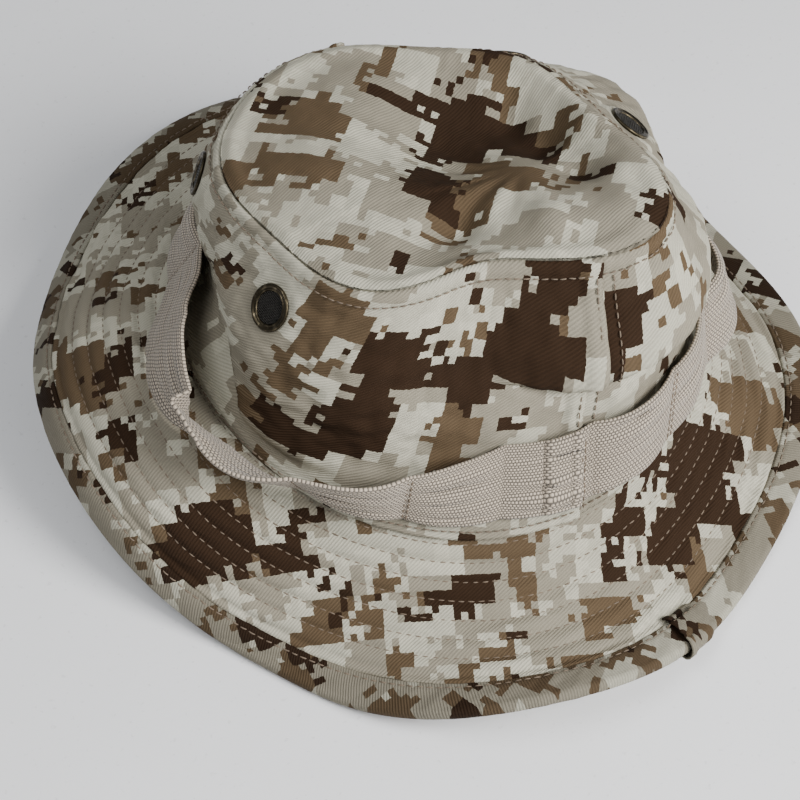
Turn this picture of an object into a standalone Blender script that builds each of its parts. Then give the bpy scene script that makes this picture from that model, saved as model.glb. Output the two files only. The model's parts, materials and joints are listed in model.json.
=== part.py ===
"""Boonie hat: a soft crown of two side panels and an oval tip, a stitched three-ply brim with a
folded binding, a webbing band with foliage loops, a sweatband and four screened vents.

The hat rests on its brim, +Z up, with the front at +Y and the centre back seam at -Y.
The sewn pieces are sheets laid out on one common grid round the head, so that each ply
follows its neighbour at an even distance. Lengths are in metres.
"""
import math

import bmesh
import bpy
import numpy as np

# How the hat settles on its three low points: a move to the middle of its own box, and a slight lean
SETTLE_MOVE = (0.00714, -0.00248, -0.0036)
SETTLE_LEAN = (-0.0120, -0.0040)
REST_HEIGHT = 0.0035

# Head opening, an oval that dips at the back and rises at the sides
HEAD_HALF_WIDTH = 0.0900
HEAD_HALF_LENGTH = 0.0966
HEAD_SEAM_HEIGHT = dict(mean=0.0404, cos=(-0.0011, 0.0076), sin=(-0.0044, -0.0027))

# Brim: width on the cloth from the crown seam, and its droop below level in radians
BRIM_WIDTH = 0.060
BINDING_WIDTH = 0.0105
BRIM_DROOP = dict(mean=0.665, cos=(0.668, 0.056, 0.297, -0.061, 0.096),
                  sin=(-0.499, 0.016, 0.069, 0.058, 0.031))
BRIM_CURL = dict(mean=-0.362, cos=(-1.111, 0.129, -0.566), sin=(0.776, 0.017, -0.228))

# Crown: the tip's seam is a rounded oval, slumped forward and twisted on the head opening
CROWN_CLOTH_HEIGHT = 0.088
TIP_CENTRE = (0.0, 0.012)
TIP_RADIUS = dict(mean=0.0642, cos=(0.0012, 0.0009, -0.0014, -0.0041, -0.0006),
                  sin=(-0.0018, -0.0074, -0.0033, 0.0012, 0.0027))
TIP_SEAM_HEIGHT = dict(mean=0.1072, sin=(-0.0040,))
TIP_TWIST = dict(mean=0.20, sin=(-0.18,))
TIP_RISE = 0.003
# Hollows in the slack tip: place across, place along, depth, radius
TIP_HOLLOWS = ((0.018, 0.022, 0.016, 0.026), (-0.008, -0.022, 0.006, 0.014))
SLACK_TO_BULGE = dict(mean=0.30, cos=(0.14,))

# Cloth, seams and clearances
CLOTH = 0.0005
CROWN_CLOTH = 0.0008
GAP = 0.0003
SEAM_ALLOWANCE = 0.008
FELL_WIDTH = 0.008
EDGE_CLEARANCE = 0.0006
ALLOWANCE_UP = SEAM_ALLOWANCE / CROWN_CLOTH_HEIGHT
PLIES_INSIDE_CROWN = CROWN_CLOTH + 3 * CLOTH + 4 * GAP
BACK = -0.5 * math.pi
FRONT = 0.5 * math.pi

# Where the grid's rows run: shares of a panel's height, shares of the tip, and places on the brim
PANEL_UPS = (0.0, ALLOWANCE_UP, 0.28, 0.47, 0.66, 0.86, 1 - ALLOWANCE_UP, 1.0)
TIP_SHARES = (0.985, 0.86, 0.66, 0.45, 0.24)
BRIM_EDGE = BRIM_WIDTH - 0.0006
BRIM_PLACES = (BRIM_EDGE, BRIM_WIDTH - 0.5 * BINDING_WIDTH, BRIM_WIDTH - BINDING_WIDTH, 0.034, 0.020,
               0.009)
# Radians over which a lapped panel steps out
FELL_STEP = 0.012

# Webbing band, one inch wide, tacked down at even steps and standing off in loops between them
WEBBING_WIDTH = 0.0254
WEBBING_THICKNESS = 0.0012
WEBBING_ABOVE_SEAM = 0.006
WEBBING_OFF_CROWN = 0.0030
WEBBING_START = BACK
LOOP_COUNT = 12
LOOP_STAND_OFF = 0.0012
# The two loops that have been pulled open: direction in radians, stand-off, half width in radians
OPEN_LOOPS = ((math.radians(170), 0.011, 0.30), (math.radians(335), 0.008, 0.22))

SWEATBAND_LOW = 0.0015
SWEATBAND_HEIGHT = 0.030
SWEATBAND_EASE = 0.0008
# Labels: direction in radians and width; both span the same heights
LABELS = dict(size_label=(BACK + 0.16, 0.020), care_label=(BACK - 0.22, 0.030))
LABEL_HEIGHTS = (0.008, 0.016, 0.024)
LABEL_EASE = 0.0006
LABEL_THICKNESS = 0.0003

BINDING_EASE = 0.0009
BINDING_ROUND = 0.0010
BINDING_BEND = math.radians(60)
BINDING_START = math.radians(282)
# Binding lower than this is pressed flat on the surface under the hat
PRESSED_BELOW = 0.0004

# Vents: direction round the crown in degrees, and where each sits up the cloth
VENT_ANGLES = dict(left_rear=192, left_front=144, right_rear=-12, right_front=36)
VENT_UP = 0.76
VENT_FLAT = 0.0135
VENT_RADIUS = 0.0078
VENT_BORE = 0.0054
VENT_HOLE = 0.0063
VENT_BARREL = 0.0060
VENT_TAIL = -0.0020
RIM_SEAT = CROWN_CLOTH + 0.0009
RIM_ROUND = 0.0005
RIM_RISE = 0.0011
WASHER_FAR = -0.0015
WASHER_NEAR = -0.0008
SCREEN_RADIUS = 0.0052
SCREEN_LIFT = CROWN_CLOTH + 0.0007
SCREEN_THICKNESS = 0.0004
SCREEN_SIDES = 20
SCREEN_PITCH = 0.0024
SCREEN_OPENING = 0.0014
CUTTER_REACH = 0.006

ROUND_STEPS = 60
LAP_COLUMNS = 2

FABRIC = dict(color=(0.52, 0.49, 0.43), roughness=0.9)
BROWN_FABRIC = dict(color=(0.33, 0.26, 0.20), roughness=0.9)
LINING = dict(color=(0.46, 0.42, 0.36), roughness=0.92)
TAPE = dict(color=(0.47, 0.39, 0.33), roughness=0.85)
BRASS = dict(color=(0.16, 0.13, 0.08), roughness=0.42, metallic=1.0)
SCREEN_METAL = dict(color=(0.03, 0.03, 0.03), roughness=0.55, metallic=0.8)
PAPER_WHITE = dict(color=(0.70, 0.68, 0.63), roughness=0.8)


# ---------------------------------------------------------------- form of the hat

def wave(angle, mean, cos=(), sin=()):
    """A mean value plus cosines and sines of whole multiples of the angle."""
    total = mean + 0.0 * angle
    for order, size in enumerate(cos, 1):
        total = total + size * np.cos(order * angle)
    for order, size in enumerate(sin, 1):
        total = total + size * np.sin(order * angle)
    return total


def settled(point):
    """Moves and leans a point from the hat's own oval to where it rests."""
    moved = point + np.array(SETTLE_MOVE)
    moved[..., 2] += point[..., 0] * SETTLE_LEAN[0] + point[..., 1] * SETTLE_LEAN[1]
    return moved


def head_seam(angle):
    """Points of the seam between crown and brim, and the level direction outwards there."""
    x = HEAD_HALF_WIDTH * np.cos(angle)
    y = HEAD_HALF_LENGTH * np.sin(angle)
    across = np.cos(angle) / HEAD_HALF_WIDTH
    along = np.sin(angle) / HEAD_HALF_LENGTH
    length = np.hypot(across, along)
    outward = np.stack([across / length, along / length, 0 * angle], axis=-1)
    return np.stack([x, y, wave(angle, **HEAD_SEAM_HEIGHT)], axis=-1), outward


def brim_point(angle, distance):
    """The brim at a distance on the cloth: the droop and curl turn the cloth as it goes out."""
    seam, outward = head_seam(angle)
    steps = 12
    out = 0.0 * angle
    down = 0.0 * angle
    for step in range(steps):
        share = (step + 0.5) / steps * distance / BRIM_WIDTH
        slope = wave(angle, **BRIM_DROOP) + share * wave(angle, **BRIM_CURL)
        out = out + np.cos(slope) * distance / steps
        down = down + np.sin(slope) * distance / steps
    point = seam + outward * out[..., None]
    point[..., 2] -= down
    point = settled(point)
    point[..., 2] = np.maximum(point[..., 2], REST_HEIGHT)
    return point


def tip_seam(angle):
    """The seam between crown and tip, reached from a direction on the head opening."""
    turned = angle + wave(angle, **TIP_TWIST)
    radius = wave(turned, **TIP_RADIUS)
    x = TIP_CENTRE[0] + radius * np.cos(turned)
    y = TIP_CENTRE[1] + radius * np.sin(turned)
    return np.stack([x, y, wave(turned, **TIP_SEAM_HEIGHT)], axis=-1)


def crown_point(angle, up):
    """The crown side: a straight run from seam to seam, blown out by the cloth's slack."""
    low, outward = head_seam(angle)
    high = tip_seam(angle)
    run = np.linalg.norm(high - low, axis=-1)
    slack = np.maximum(CROWN_CLOTH_HEIGHT - run, 0.0)
    up = np.asarray(up) + 0.0 * angle
    blown = wave(angle, **SLACK_TO_BULGE) * np.sqrt(0.375 * run * slack)
    bulge = blown * np.sin(math.pi * np.clip(up, 0.0, 1.0)) ** 0.8
    lift = np.array([0.0, 0.0, 1.0]) * (0.35 * bulge)[..., None]
    share = up[..., None]
    return settled(low * (1 - share) + high * share + outward * bulge[..., None] + lift)


def tip_point(angle, share):
    """The tip: from its middle, share 0, to its seam, share 1, with a low rise and hollows."""
    seam = tip_seam(angle)
    middle = np.array([TIP_CENTRE[0], TIP_CENTRE[1], TIP_SEAM_HEIGHT["mean"]])
    point = middle + (seam - middle) * share
    point[..., 2] += TIP_RISE * (1 - share * share)
    for x, y, depth, radius in TIP_HOLLOWS:
        distance = np.hypot(point[..., 0] - x, point[..., 1] - y) / radius
        point[..., 2] -= depth * np.exp(-distance ** 2) * (1 - share ** 6)
    return settled(point)


# ---------------------------------------------------------------- sheets

def ring_angles():
    """Directions round the hat, shared by every sheet."""
    return np.arange(ROUND_STEPS) * 2 * math.pi / ROUND_STEPS


def sheet_normals(rows, closed):
    """Unit normals of a sheet of rows, from the cross product of its two directions."""
    if closed:
        round_step = np.roll(rows, -1, axis=1) - np.roll(rows, 1, axis=1)
    else:
        round_step = np.gradient(rows, axis=1)
    normals = np.cross(round_step, np.gradient(rows, axis=0))
    return normals / np.linalg.norm(normals, axis=-1)[..., None]


def shell_faces(row_count, column_count, closed, crossed_rows=(), last_edge=True):
    """Triangles of a sheet's two sides and of its edges; the second side follows the first.

    Both sides split each quad along the same diagonal, so that neighbouring sheets stay evenly
    apart where the cloth twists. The rows in crossed_rows use the other diagonal."""
    def at(side, row, column):
        return (side * row_count + row) * column_count + column % column_count

    def split(a, b, c, d):
        return [(a, b, c), (a, c, d)]

    faces = []
    spans = column_count if closed else column_count - 1
    for row in range(row_count - 1):
        for column in range(spans):
            for side in (0, 1):
                ring = [at(side, row, column), at(side, row, column + 1),
                        at(side, row + 1, column + 1), at(side, row + 1, column)]
                if row in crossed_rows:
                    ring = ring[1:] + ring[:1]
                pair = split(*ring)
                faces += pair if side else [triangle[::-1] for triangle in pair]
    last = row_count - 1
    for column in range(spans):
        faces += split(at(0, 0, column), at(0, 0, column + 1), at(1, 0, column + 1), at(1, 0, column))
        if last_edge:
            faces += split(at(1, last, column), at(1, last, column + 1),
                           at(0, last, column + 1), at(0, last, column))
    if not closed:
        end = column_count - 1
        for row in range(row_count - 1):
            faces += split(at(0, row + 1, 0), at(0, row, 0), at(1, row, 0), at(1, row + 1, 0))
            faces += split(at(0, row, end), at(0, row + 1, end), at(1, row + 1, end), at(1, row, end))
    return faces


def material(name, color, roughness, metallic=0.0):
    """A plain Principled material."""
    made = bpy.data.materials.new(name)
    made.use_nodes = True
    shader = made.node_tree.nodes["Principled BSDF"]
    shader.inputs["Base Color"].default_value = (*color, 1.0)
    shader.inputs["Roughness"].default_value = roughness
    shader.inputs["Metallic"].default_value = metallic
    return made


def outward_mesh(name, vertices, faces):
    """A mesh with all its faces pointing out."""
    mesh = bpy.data.meshes.new(name)
    mesh.from_pydata([tuple(vertex) for vertex in vertices], [], faces)
    work = bmesh.new()
    work.from_mesh(mesh)
    bmesh.ops.recalc_face_normals(work, faces=work.faces[:])
    work.to_mesh(mesh)
    work.free()
    return mesh


def add_piece(name, vertices, faces, look):
    """One named piece under the hat's empty, with its own material."""
    mesh = outward_mesh(name, vertices, faces)
    mesh.shade_smooth()
    mesh.set_sharp_from_angle(angle=math.radians(40))
    piece = bpy.data.objects.new(name, mesh)
    piece.parent = bpy.data.objects["hat"]
    bpy.context.scene.collection.objects.link(piece)
    mesh.materials.append(material(name, **look))
    return piece


def add_shell(name, rows, inner, outer, look, closed=True, normals=None, crossed_rows=()):
    """A sheet of cloth as a closed body between two offsets along its normals."""
    if normals is None:
        normals = sheet_normals(rows, closed)
    sides = [rows + normals * np.asarray(offset)[..., None] for offset in (inner, outer)]
    vertices = np.concatenate([side.reshape(-1, 3) for side in sides])
    faces = shell_faces(rows.shape[0], rows.shape[1], closed, crossed_rows)
    return add_piece(name, vertices, faces, look)


# ---------------------------------------------------------------- crown

def press_flat(rows, frame):
    """Presses the cloth under a vent's rim flat, on the vent's own plane."""
    centre, _, _, normal = frame
    away = rows - centre
    height = away @ normal
    near = np.linalg.norm(away, axis=-1) < VENT_FLAT
    rows[near] -= normal * height[near][:, None]


def add_crown_sides():
    """Two side panels, joined by a lapped seam at the centre back and the centre front.

    The left panel's edges step outwards over the right panel's, as in a flat-felled seam."""
    lap = FELL_WIDTH / HEAD_HALF_LENGTH
    half_round = np.arange(ROUND_STEPS // 2 + 1) * 2 * math.pi / ROUND_STEPS
    right = BACK + half_round
    left = FRONT + half_round
    # The left panel is wider by the lap at each end, with one column where its step begins
    left = np.concatenate([[left[0] - lap, left[0] + FELL_STEP], left[1:-1],
                           [left[-1] - FELL_STEP, left[-1] + lap]])
    lifts = np.zeros(len(left))
    lifts[[0, 1, -2, -1]] = CROWN_CLOTH + GAP
    for name, panel, raised in (("crown_side_right", right, np.zeros(len(right))),
                                ("crown_side_left", left, lifts)):
        angles, ups = np.meshgrid(panel, PANEL_UPS)
        rows = crown_point(angles, ups)
        for degrees in VENT_ANGLES.values():
            press_flat(rows, vent_frame(degrees))
        offsets = np.broadcast_to(raised, rows.shape[:2])
        add_shell(name, rows, offsets, offsets + CROWN_CLOTH, FABRIC, closed=False)


def add_tip():
    """The oval tip, its edge turned down inside the side panels."""
    angles = ring_angles()
    wall = np.stack([crown_point(angles, 1 - ALLOWANCE_UP), crown_point(angles, 1.0)])
    flange = (wall - sheet_normals(wall, True) * EDGE_CLEARANCE)[:1]
    face = np.stack([tip_point(angles, share) for share in TIP_SHARES])
    rows = np.concatenate([flange, face])
    normals = sheet_normals(rows, True)
    under_side = rows - normals * CROWN_CLOTH
    middle = tip_point(np.zeros(1), 0.0)[0]
    count = len(angles)
    vertices = np.concatenate([under_side.reshape(-1, 3), rows.reshape(-1, 3),
                               [middle - (0, 0, CROWN_CLOTH)], [middle]])
    faces = shell_faces(len(rows), count, True, last_edge=False)
    # Both sides close on a middle point
    under_middle = 2 * len(rows) * count
    under = (len(rows) - 1) * count
    upper = (2 * len(rows) - 1) * count
    for column in range(count):
        following = (column + 1) % count
        faces.append((under + following, under + column, under_middle))
        faces.append((upper + column, upper + following, under_middle + 1))
    add_piece("crown_tip", vertices, faces, FABRIC)


# ---------------------------------------------------------------- brim

def brim_rows(distances):
    """Brim rows from the edge in to the crown, then up the seam allowance inside the crown."""
    angles = ring_angles()
    brim = [brim_point(angles, distance) for distance in distances]
    seam, outward = head_seam(angles)
    seam = settled(seam)
    corner = seam - (outward + np.array([0.0, 0.0, 1.0])) * EDGE_CLEARANCE
    wall = np.stack([seam, crown_point(angles, ALLOWANCE_UP)])
    flange = (wall - sheet_normals(wall, True) * EDGE_CLEARANCE)[1]
    return np.stack(brim + [corner, flange])


def add_brim():
    """Three plies, one above the other; the outer two turn up inside the crown."""
    rows = brim_rows(BRIM_PLACES)
    normals = sheet_normals(rows, True)
    core = slice(1, len(BRIM_PLACES))
    ply = CLOTH + GAP
    add_shell("brim_upper_ply", rows, -CLOTH, 0.0, FABRIC)
    add_shell("brim_lower_ply", rows, -CLOTH - 2 * ply, -2 * ply, FABRIC)
    add_shell("brim_interlining", rows[core], -CLOTH - ply, -ply, LINING, normals=normals[core])


def lap_lift(columns, lift):
    """Lift of a strip's last columns, which lie on its first ones."""
    lapped = np.arange(columns) >= columns - 1 - LAP_COLUMNS
    return np.where(lapped, lift, 0.0)


def add_binding():
    """A bias strip folded over the brim's edge; its end laps over its start."""
    columns = ROUND_STEPS + LAP_COLUMNS
    angles = BINDING_START + np.arange(columns) * 2 * math.pi / ROUND_STEPS
    stack = 3 * CLOTH + 2 * GAP
    half = 0.5 * stack + BINDING_EASE
    # The fold's section: out along the underside, round the edge, and back along the top
    run = np.array([BINDING_WIDTH, 0.5 * BINDING_WIDTH])
    bend = np.array([-BINDING_BEND, 0.0, BINDING_BEND])
    edge = BRIM_WIDTH + BINDING_ROUND * np.cos(bend)
    out = np.concatenate([BRIM_WIDTH - run, edge, BRIM_WIDTH - run[::-1]])
    up = np.concatenate([np.full(2, -half), half * np.sin(bend), np.full(2, half)])
    lifted = lap_lift(columns, CLOTH + GAP)
    section = []
    for distance, height in zip(out, up):
        here = brim_point(angles, distance)
        near = brim_point(angles, distance - 0.002)
        outward = (here - near) / np.linalg.norm(here - near, axis=-1)[..., None]
        along = np.gradient(here, axis=0)
        normal = np.cross(along, outward)
        normal = -normal / np.linalg.norm(normal, axis=-1)[..., None]
        grown = height + np.sign(height) * lifted
        section.append(here + normal * (grown - 0.5 * stack)[..., None]
                       + outward * (lifted * (distance > BRIM_WIDTH))[..., None])
    rows = np.stack(section)
    piece = add_shell("brim_binding", rows, 0.0, CLOTH, BROWN_FABRIC, closed=False, crossed_rows=(0, 1))
    for vertex in piece.data.vertices:
        # The lowest stretches of the binding lie flat on the surface under the hat
        if vertex.co.z < PRESSED_BELOW:
            vertex.co.z = 0.0


# ---------------------------------------------------------------- webbing and sweatband

def loop_stand_off(angle):
    """How far the webbing stands off the crown: small humps between tacks, and two open loops."""
    humps = LOOP_STAND_OFF * np.sin(0.5 * LOOP_COUNT * (angle - WEBBING_START)) ** 2
    opened = 0.0 * angle
    for direction, size, width in OPEN_LOOPS:
        away = (angle - direction + math.pi) % (2 * math.pi) - math.pi
        opened = opened + size * np.exp(-(away / width) ** 4)
    return humps + opened


def add_webbing():
    """One length of webbing round the crown, its end lapped over its start."""
    columns = ROUND_STEPS + LAP_COLUMNS
    angles = WEBBING_START + np.arange(columns) * 2 * math.pi / ROUND_STEPS
    heights = WEBBING_ABOVE_SEAM + WEBBING_WIDTH * np.linspace(0, 1, 3)
    rows = np.stack([crown_point(angles, height / CROWN_CLOTH_HEIGHT) for height in heights])
    lifted = lap_lift(columns, WEBBING_THICKNESS + GAP)
    off = WEBBING_OFF_CROWN + loop_stand_off(angles) + lifted
    _, outward = head_seam(angles)
    rows = rows + outward * off[:, None]
    add_shell("webbing_band", rows, 0.0, WEBBING_THICKNESS, TAPE, closed=False)


def add_sweatband():
    """The band inside the crown, clear of the brim's turned-up seam allowance."""
    angles = ring_angles()
    heights = (SWEATBAND_LOW, 0.5 * SWEATBAND_HEIGHT, SWEATBAND_HEIGHT)
    rows = np.stack([crown_point(angles, height / CROWN_CLOTH_HEIGHT) for height in heights])
    rows = rows - sheet_normals(rows, True) * (PLIES_INSIDE_CROWN + SWEATBAND_EASE)
    add_shell("sweatband", rows, -CROWN_CLOTH, 0.0, LINING)


def add_labels():
    """Two blank labels on the inside of the sweatband, beside the centre back."""
    inside = PLIES_INSIDE_CROWN + SWEATBAND_EASE + CROWN_CLOTH + LABEL_EASE
    for name, (middle, width) in LABELS.items():
        half = 0.5 * width / HEAD_HALF_LENGTH
        angles = middle + np.linspace(-half, half, 4)
        rows = np.stack([crown_point(angles, height / CROWN_CLOTH_HEIGHT) for height in LABEL_HEIGHTS])
        rows = rows - sheet_normals(rows, False) * inside
        add_shell(name, rows, -LABEL_THICKNESS, 0.0, PAPER_WHITE, closed=False)


# ---------------------------------------------------------------- vents

def vent_frame(degrees):
    """Place and axes of a vent: its axis is the crown's outward normal there."""
    angle = math.radians(degrees)
    spread = 0.04
    around = np.array([angle - spread, angle, angle + spread])
    rows = np.stack([crown_point(around, VENT_UP + rise) for rise in (-0.05, 0.0, 0.05)])
    normal = sheet_normals(rows, False)[1, 1]
    level = np.cross((0.0, 0.0, 1.0), normal)
    level = level / np.linalg.norm(level)
    return rows[1, 1], level, np.cross(normal, level), normal


def turned(profile, frame, steps=12):
    """A closed profile of (radius, height) points turned about a vent's axis."""
    centre, level, upright, normal = frame
    vertices = []
    for step in range(steps):
        spin = 2 * math.pi * step / steps
        spoke = level * math.cos(spin) + upright * math.sin(spin)
        vertices += [centre + spoke * radius + normal * height for radius, height in profile]
    count = len(profile)
    faces = []
    for step in range(steps):
        this, following = step * count, (step + 1) % steps * count
        for point in range(count):
            other = (point + 1) % count
            faces.append((this + point, this + other, following + other, following + point))
    return vertices, faces


def round_body(radius, low, high, frame, steps=12):
    """A closed round body about a vent's axis, between two heights."""
    vertices, faces = turned(((radius, low), (radius, high)), frame, steps)
    ends = [tuple(range(0, len(vertices), 2)), tuple(range(len(vertices) - 1, 0, -2))]
    return vertices, faces[::2] + ends


def cut(piece, mesh):
    """Takes a cutting shape, which isn't part of the hat, out of a piece."""
    cutter = bpy.data.objects.new(mesh.name, mesh)
    cutter.hide_render = True
    cutter.display_type = "WIRE"
    cutter.parent = bpy.data.objects["hat"]
    bpy.context.scene.collection.objects.link(cutter)
    boolean = piece.modifiers.new("cut", "BOOLEAN")
    boolean.operation = "DIFFERENCE"
    boolean.solver = "EXACT"
    boolean.object = cutter


def screen_pins(name, frame):
    """A square pin through each of a screen's openings, as one cutting shape."""
    centre, level, upright, normal = frame
    work = bmesh.new()
    for column in (-1, 0, 1):
        for row in (-1, 0, 1):
            middle = (centre + level * column * SCREEN_PITCH + upright * row * SCREEN_PITCH
                      + normal * SCREEN_LIFT)
            for corner in bmesh.ops.create_cube(work, size=1.0)["verts"]:
                x, y, z = corner.co
                corner.co = (middle + (level * x + upright * y) * SCREEN_OPENING
                             + normal * z * CUTTER_REACH)
    mesh = bpy.data.meshes.new(name)
    bmesh.ops.recalc_face_normals(work, faces=work.faces[:])
    work.to_mesh(mesh)
    work.free()
    return mesh


def add_vents():
    """Four vents: a turned rim with a barrel, a pierced screen held in it and a washer inside."""
    top = RIM_SEAT + RIM_RISE
    rim = ((VENT_BORE, VENT_TAIL), (VENT_BARREL, VENT_TAIL), (VENT_BARREL, RIM_SEAT),
           (VENT_RADIUS - 0.6 * RIM_ROUND, RIM_SEAT), (VENT_RADIUS, RIM_SEAT + RIM_ROUND),
           (VENT_RADIUS - 1.2 * RIM_ROUND, top), (VENT_BORE + 1.4 * RIM_ROUND, top),
           (VENT_BORE, RIM_SEAT + RIM_ROUND))
    washer = ((VENT_HOLE, WASHER_FAR), (VENT_RADIUS, WASHER_FAR), (VENT_RADIUS, WASHER_NEAR),
              (VENT_HOLE, WASHER_NEAR))
    for name, degrees in VENT_ANGLES.items():
        frame = vent_frame(degrees)
        add_piece(f"vent_rim_{name}", *turned(rim, frame), BRASS)
        add_piece(f"vent_washer_{name}", *turned(washer, frame), BRASS)
        disc = round_body(SCREEN_RADIUS, SCREEN_LIFT, SCREEN_LIFT + SCREEN_THICKNESS, frame, SCREEN_SIDES)
        screen = add_piece(f"vent_screen_{name}", *disc, SCREEN_METAL)
        cut(screen, screen_pins(f"vent_pins_{name}", frame))
        panel = "crown_side_left" if name.startswith("left") else "crown_side_right"
        hole = round_body(VENT_HOLE, -CUTTER_REACH, CUTTER_REACH, frame)
        cut(bpy.data.objects[panel], outward_mesh(f"vent_hole_{name}", *hole))


def build():
    for old in list(bpy.data.objects):
        bpy.data.objects.remove(old, do_unlink=True)
    hat = bpy.data.objects.new("hat", None)
    bpy.context.scene.collection.objects.link(hat)
    add_crown_sides()
    add_tip()
    add_brim()
    add_binding()
    add_webbing()
    add_sweatband()
    add_labels()
    add_vents()


build()
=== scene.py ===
"""Boonie hat: the sewn cloth, webbing, vents, stitching and their finishes."""
import json
import math

import bpy
import numpy as np
from bpy.props import FloatProperty, FloatVectorProperty, PointerProperty
from mathutils import Matrix, Vector

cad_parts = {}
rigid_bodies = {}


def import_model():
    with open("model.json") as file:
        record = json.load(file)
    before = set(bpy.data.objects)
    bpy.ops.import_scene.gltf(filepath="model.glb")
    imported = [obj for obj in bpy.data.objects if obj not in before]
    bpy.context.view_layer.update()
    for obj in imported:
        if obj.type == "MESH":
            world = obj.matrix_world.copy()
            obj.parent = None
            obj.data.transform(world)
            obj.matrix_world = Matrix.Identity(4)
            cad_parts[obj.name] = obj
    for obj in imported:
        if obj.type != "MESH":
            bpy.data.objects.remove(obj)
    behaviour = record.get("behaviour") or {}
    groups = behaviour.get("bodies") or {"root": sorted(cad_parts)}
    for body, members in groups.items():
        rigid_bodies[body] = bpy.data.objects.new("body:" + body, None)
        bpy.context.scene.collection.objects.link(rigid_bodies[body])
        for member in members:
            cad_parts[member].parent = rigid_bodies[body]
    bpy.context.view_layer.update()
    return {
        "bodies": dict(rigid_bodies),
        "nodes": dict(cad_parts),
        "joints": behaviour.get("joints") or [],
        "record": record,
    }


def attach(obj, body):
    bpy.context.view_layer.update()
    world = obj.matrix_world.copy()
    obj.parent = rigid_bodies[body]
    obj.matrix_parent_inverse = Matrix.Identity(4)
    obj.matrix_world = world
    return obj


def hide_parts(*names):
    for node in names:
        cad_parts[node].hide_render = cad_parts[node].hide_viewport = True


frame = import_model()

bl_info = {
    "name": "Boonie hat",
    "version": (1, 0, 0),
    "blender": (4, 5, 0),
    "location": "View3D > Sidebar > Hat",
    "description": "Builds a soft boonie hat piece by piece",
    "category": "Object",
}

FULL_TURN = 2 * math.pi
BACK = -0.5 * math.pi
FRONT = 0.5 * math.pi

# ------------------------------------------------------------ form shared with the frame, metres

SETTLE_MOVE = (0.00714, -0.00248, -0.0036)
SETTLE_LEAN = (-0.0120, -0.0040)
REST_HEIGHT = 0.0035
REST_EASE = 0.0012

HEAD_HALF_WIDTH = 0.0900
HEAD_HALF_LENGTH = 0.0966
HEAD_SEAM_HEIGHT = dict(mean=0.0404, cos=(-0.0011, 0.0076), sin=(-0.0044, -0.0027))

BRIM_WIDTH = 0.060
BRIM_STEPS = 12
BINDING_WIDTH = 0.0105
BRIM_DROOP = dict(mean=0.665, cos=(0.668, 0.056, 0.297, -0.061, 0.096),
                  sin=(-0.499, 0.016, 0.069, 0.058, 0.031))
BRIM_CURL = dict(mean=-0.362, cos=(-1.111, 0.129, -0.566), sin=(0.776, 0.017, -0.228))

CROWN_CLOTH_HEIGHT = 0.088
TIP_CENTRE = (0.0, 0.012)
TIP_RADIUS = dict(mean=0.0642, cos=(0.0012, 0.0009, -0.0014, -0.0041, -0.0006),
                  sin=(-0.0018, -0.0074, -0.0033, 0.0012, 0.0027))
TIP_SEAM_HEIGHT = dict(mean=0.1072, sin=(-0.0040,))
TIP_TWIST = dict(mean=0.20, sin=(-0.18,))
SLACK_TO_BULGE = dict(mean=0.30, cos=(0.14,))

VENT_ANGLES = dict(left_rear=192, left_front=144, right_rear=-12, right_front=36)
VENT_UP = 0.76
WEBBING_WIDTH = 0.0254
WEBBING_ABOVE_SEAM = 0.006

# ------------------------------------------------------------ looks

STITCH_ROWS = 7
STITCH_ROW_PITCH = 0.00635
FIRST_STITCH_ROW = 0.0022
STITCH_LENGTH = 0.0026
STITCH_STEP = 0.0033
THREAD_RADIUS = 0.00026
STITCH_SIDES = 6

# One thickness of the hat's cloth, and how far a panel sits under its neighbour at a seam
CLOTH = 0.0008
TUCKED = 0.0007
# Rows of topstitching, measured on the side cloth from the tip seam and from the brim seam
TIP_STITCH = 0.0052
SEAM_STITCH = 0.0030
# The felled edge past each centre line, its rise, and its two rows of stitches
FELLED_SEAMS = ((BACK, 1), (FRONT, -1))
FELL_EDGE = 0.0030
FELL_RISE = 0.0011
FELL_ROWS = (0.0012, 0.0074)
# The lower ply lies under the upper one, and its channels puff downwards and less
LOWER_PLY_DROP = 0.0016
LOWER_PLY_PUFF = -0.8
# Mean radii that turn an angle into a length of cloth
SIDE_RADIUS = 0.082
WRINKLE_RADIUS = 0.085
BASE_RADIUS = 0.090
BRIM_RADIUS = 0.093
WEBBING_RADIUS = 0.094
BINDING_RADIUS = 0.150
TIP_REACH = 0.064


def length_choice(name, default, description):
    """A length that a user can change."""
    return FloatProperty(name=name, description=description, default=default, unit="LENGTH")


def colour_choice(name, default, description):
    """A colour that a user can change."""
    return FloatVectorProperty(name=name, description=description, default=default, subtype="COLOR")


class HatSizes(bpy.types.PropertyGroup):
    """Sizes of the cloth's relief that a user would change."""
    quilt_puff: length_choice("Quilt puff", 0.0008, "Rise of the cloth between stitch rows")
    wrinkle: length_choice("Wrinkle", 0.0016, "Depth of the crown's soft wrinkles")
    loop_depth: length_choice("Loop depth", 0.011, "Stand-off of the webbing's opened loop")
    square: length_choice("Camouflage square", 0.0050, "Side of one printed square")


class HatColours(bpy.types.PropertyGroup):
    """Colours of the cloth, webbing and thread."""
    stone: colour_choice("Stone", (0.412, 0.394, 0.314), "Palest camouflage colour")
    taupe: colour_choice("Taupe", (0.245, 0.222, 0.170), "Grey middle colour")
    tan: colour_choice("Tan", (0.094, 0.064, 0.036), "Brown middle colour")
    bark: colour_choice("Bark", (0.026, 0.0135, 0.0065), "Darkest camouflage colour")
    webbing: colour_choice("Webbing", (0.52, 0.435, 0.335), "Webbing yarn")
    thread: colour_choice("Thread", (0.15, 0.112, 0.078), "Sewing thread")


# ------------------------------------------------------------ surfaces

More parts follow.
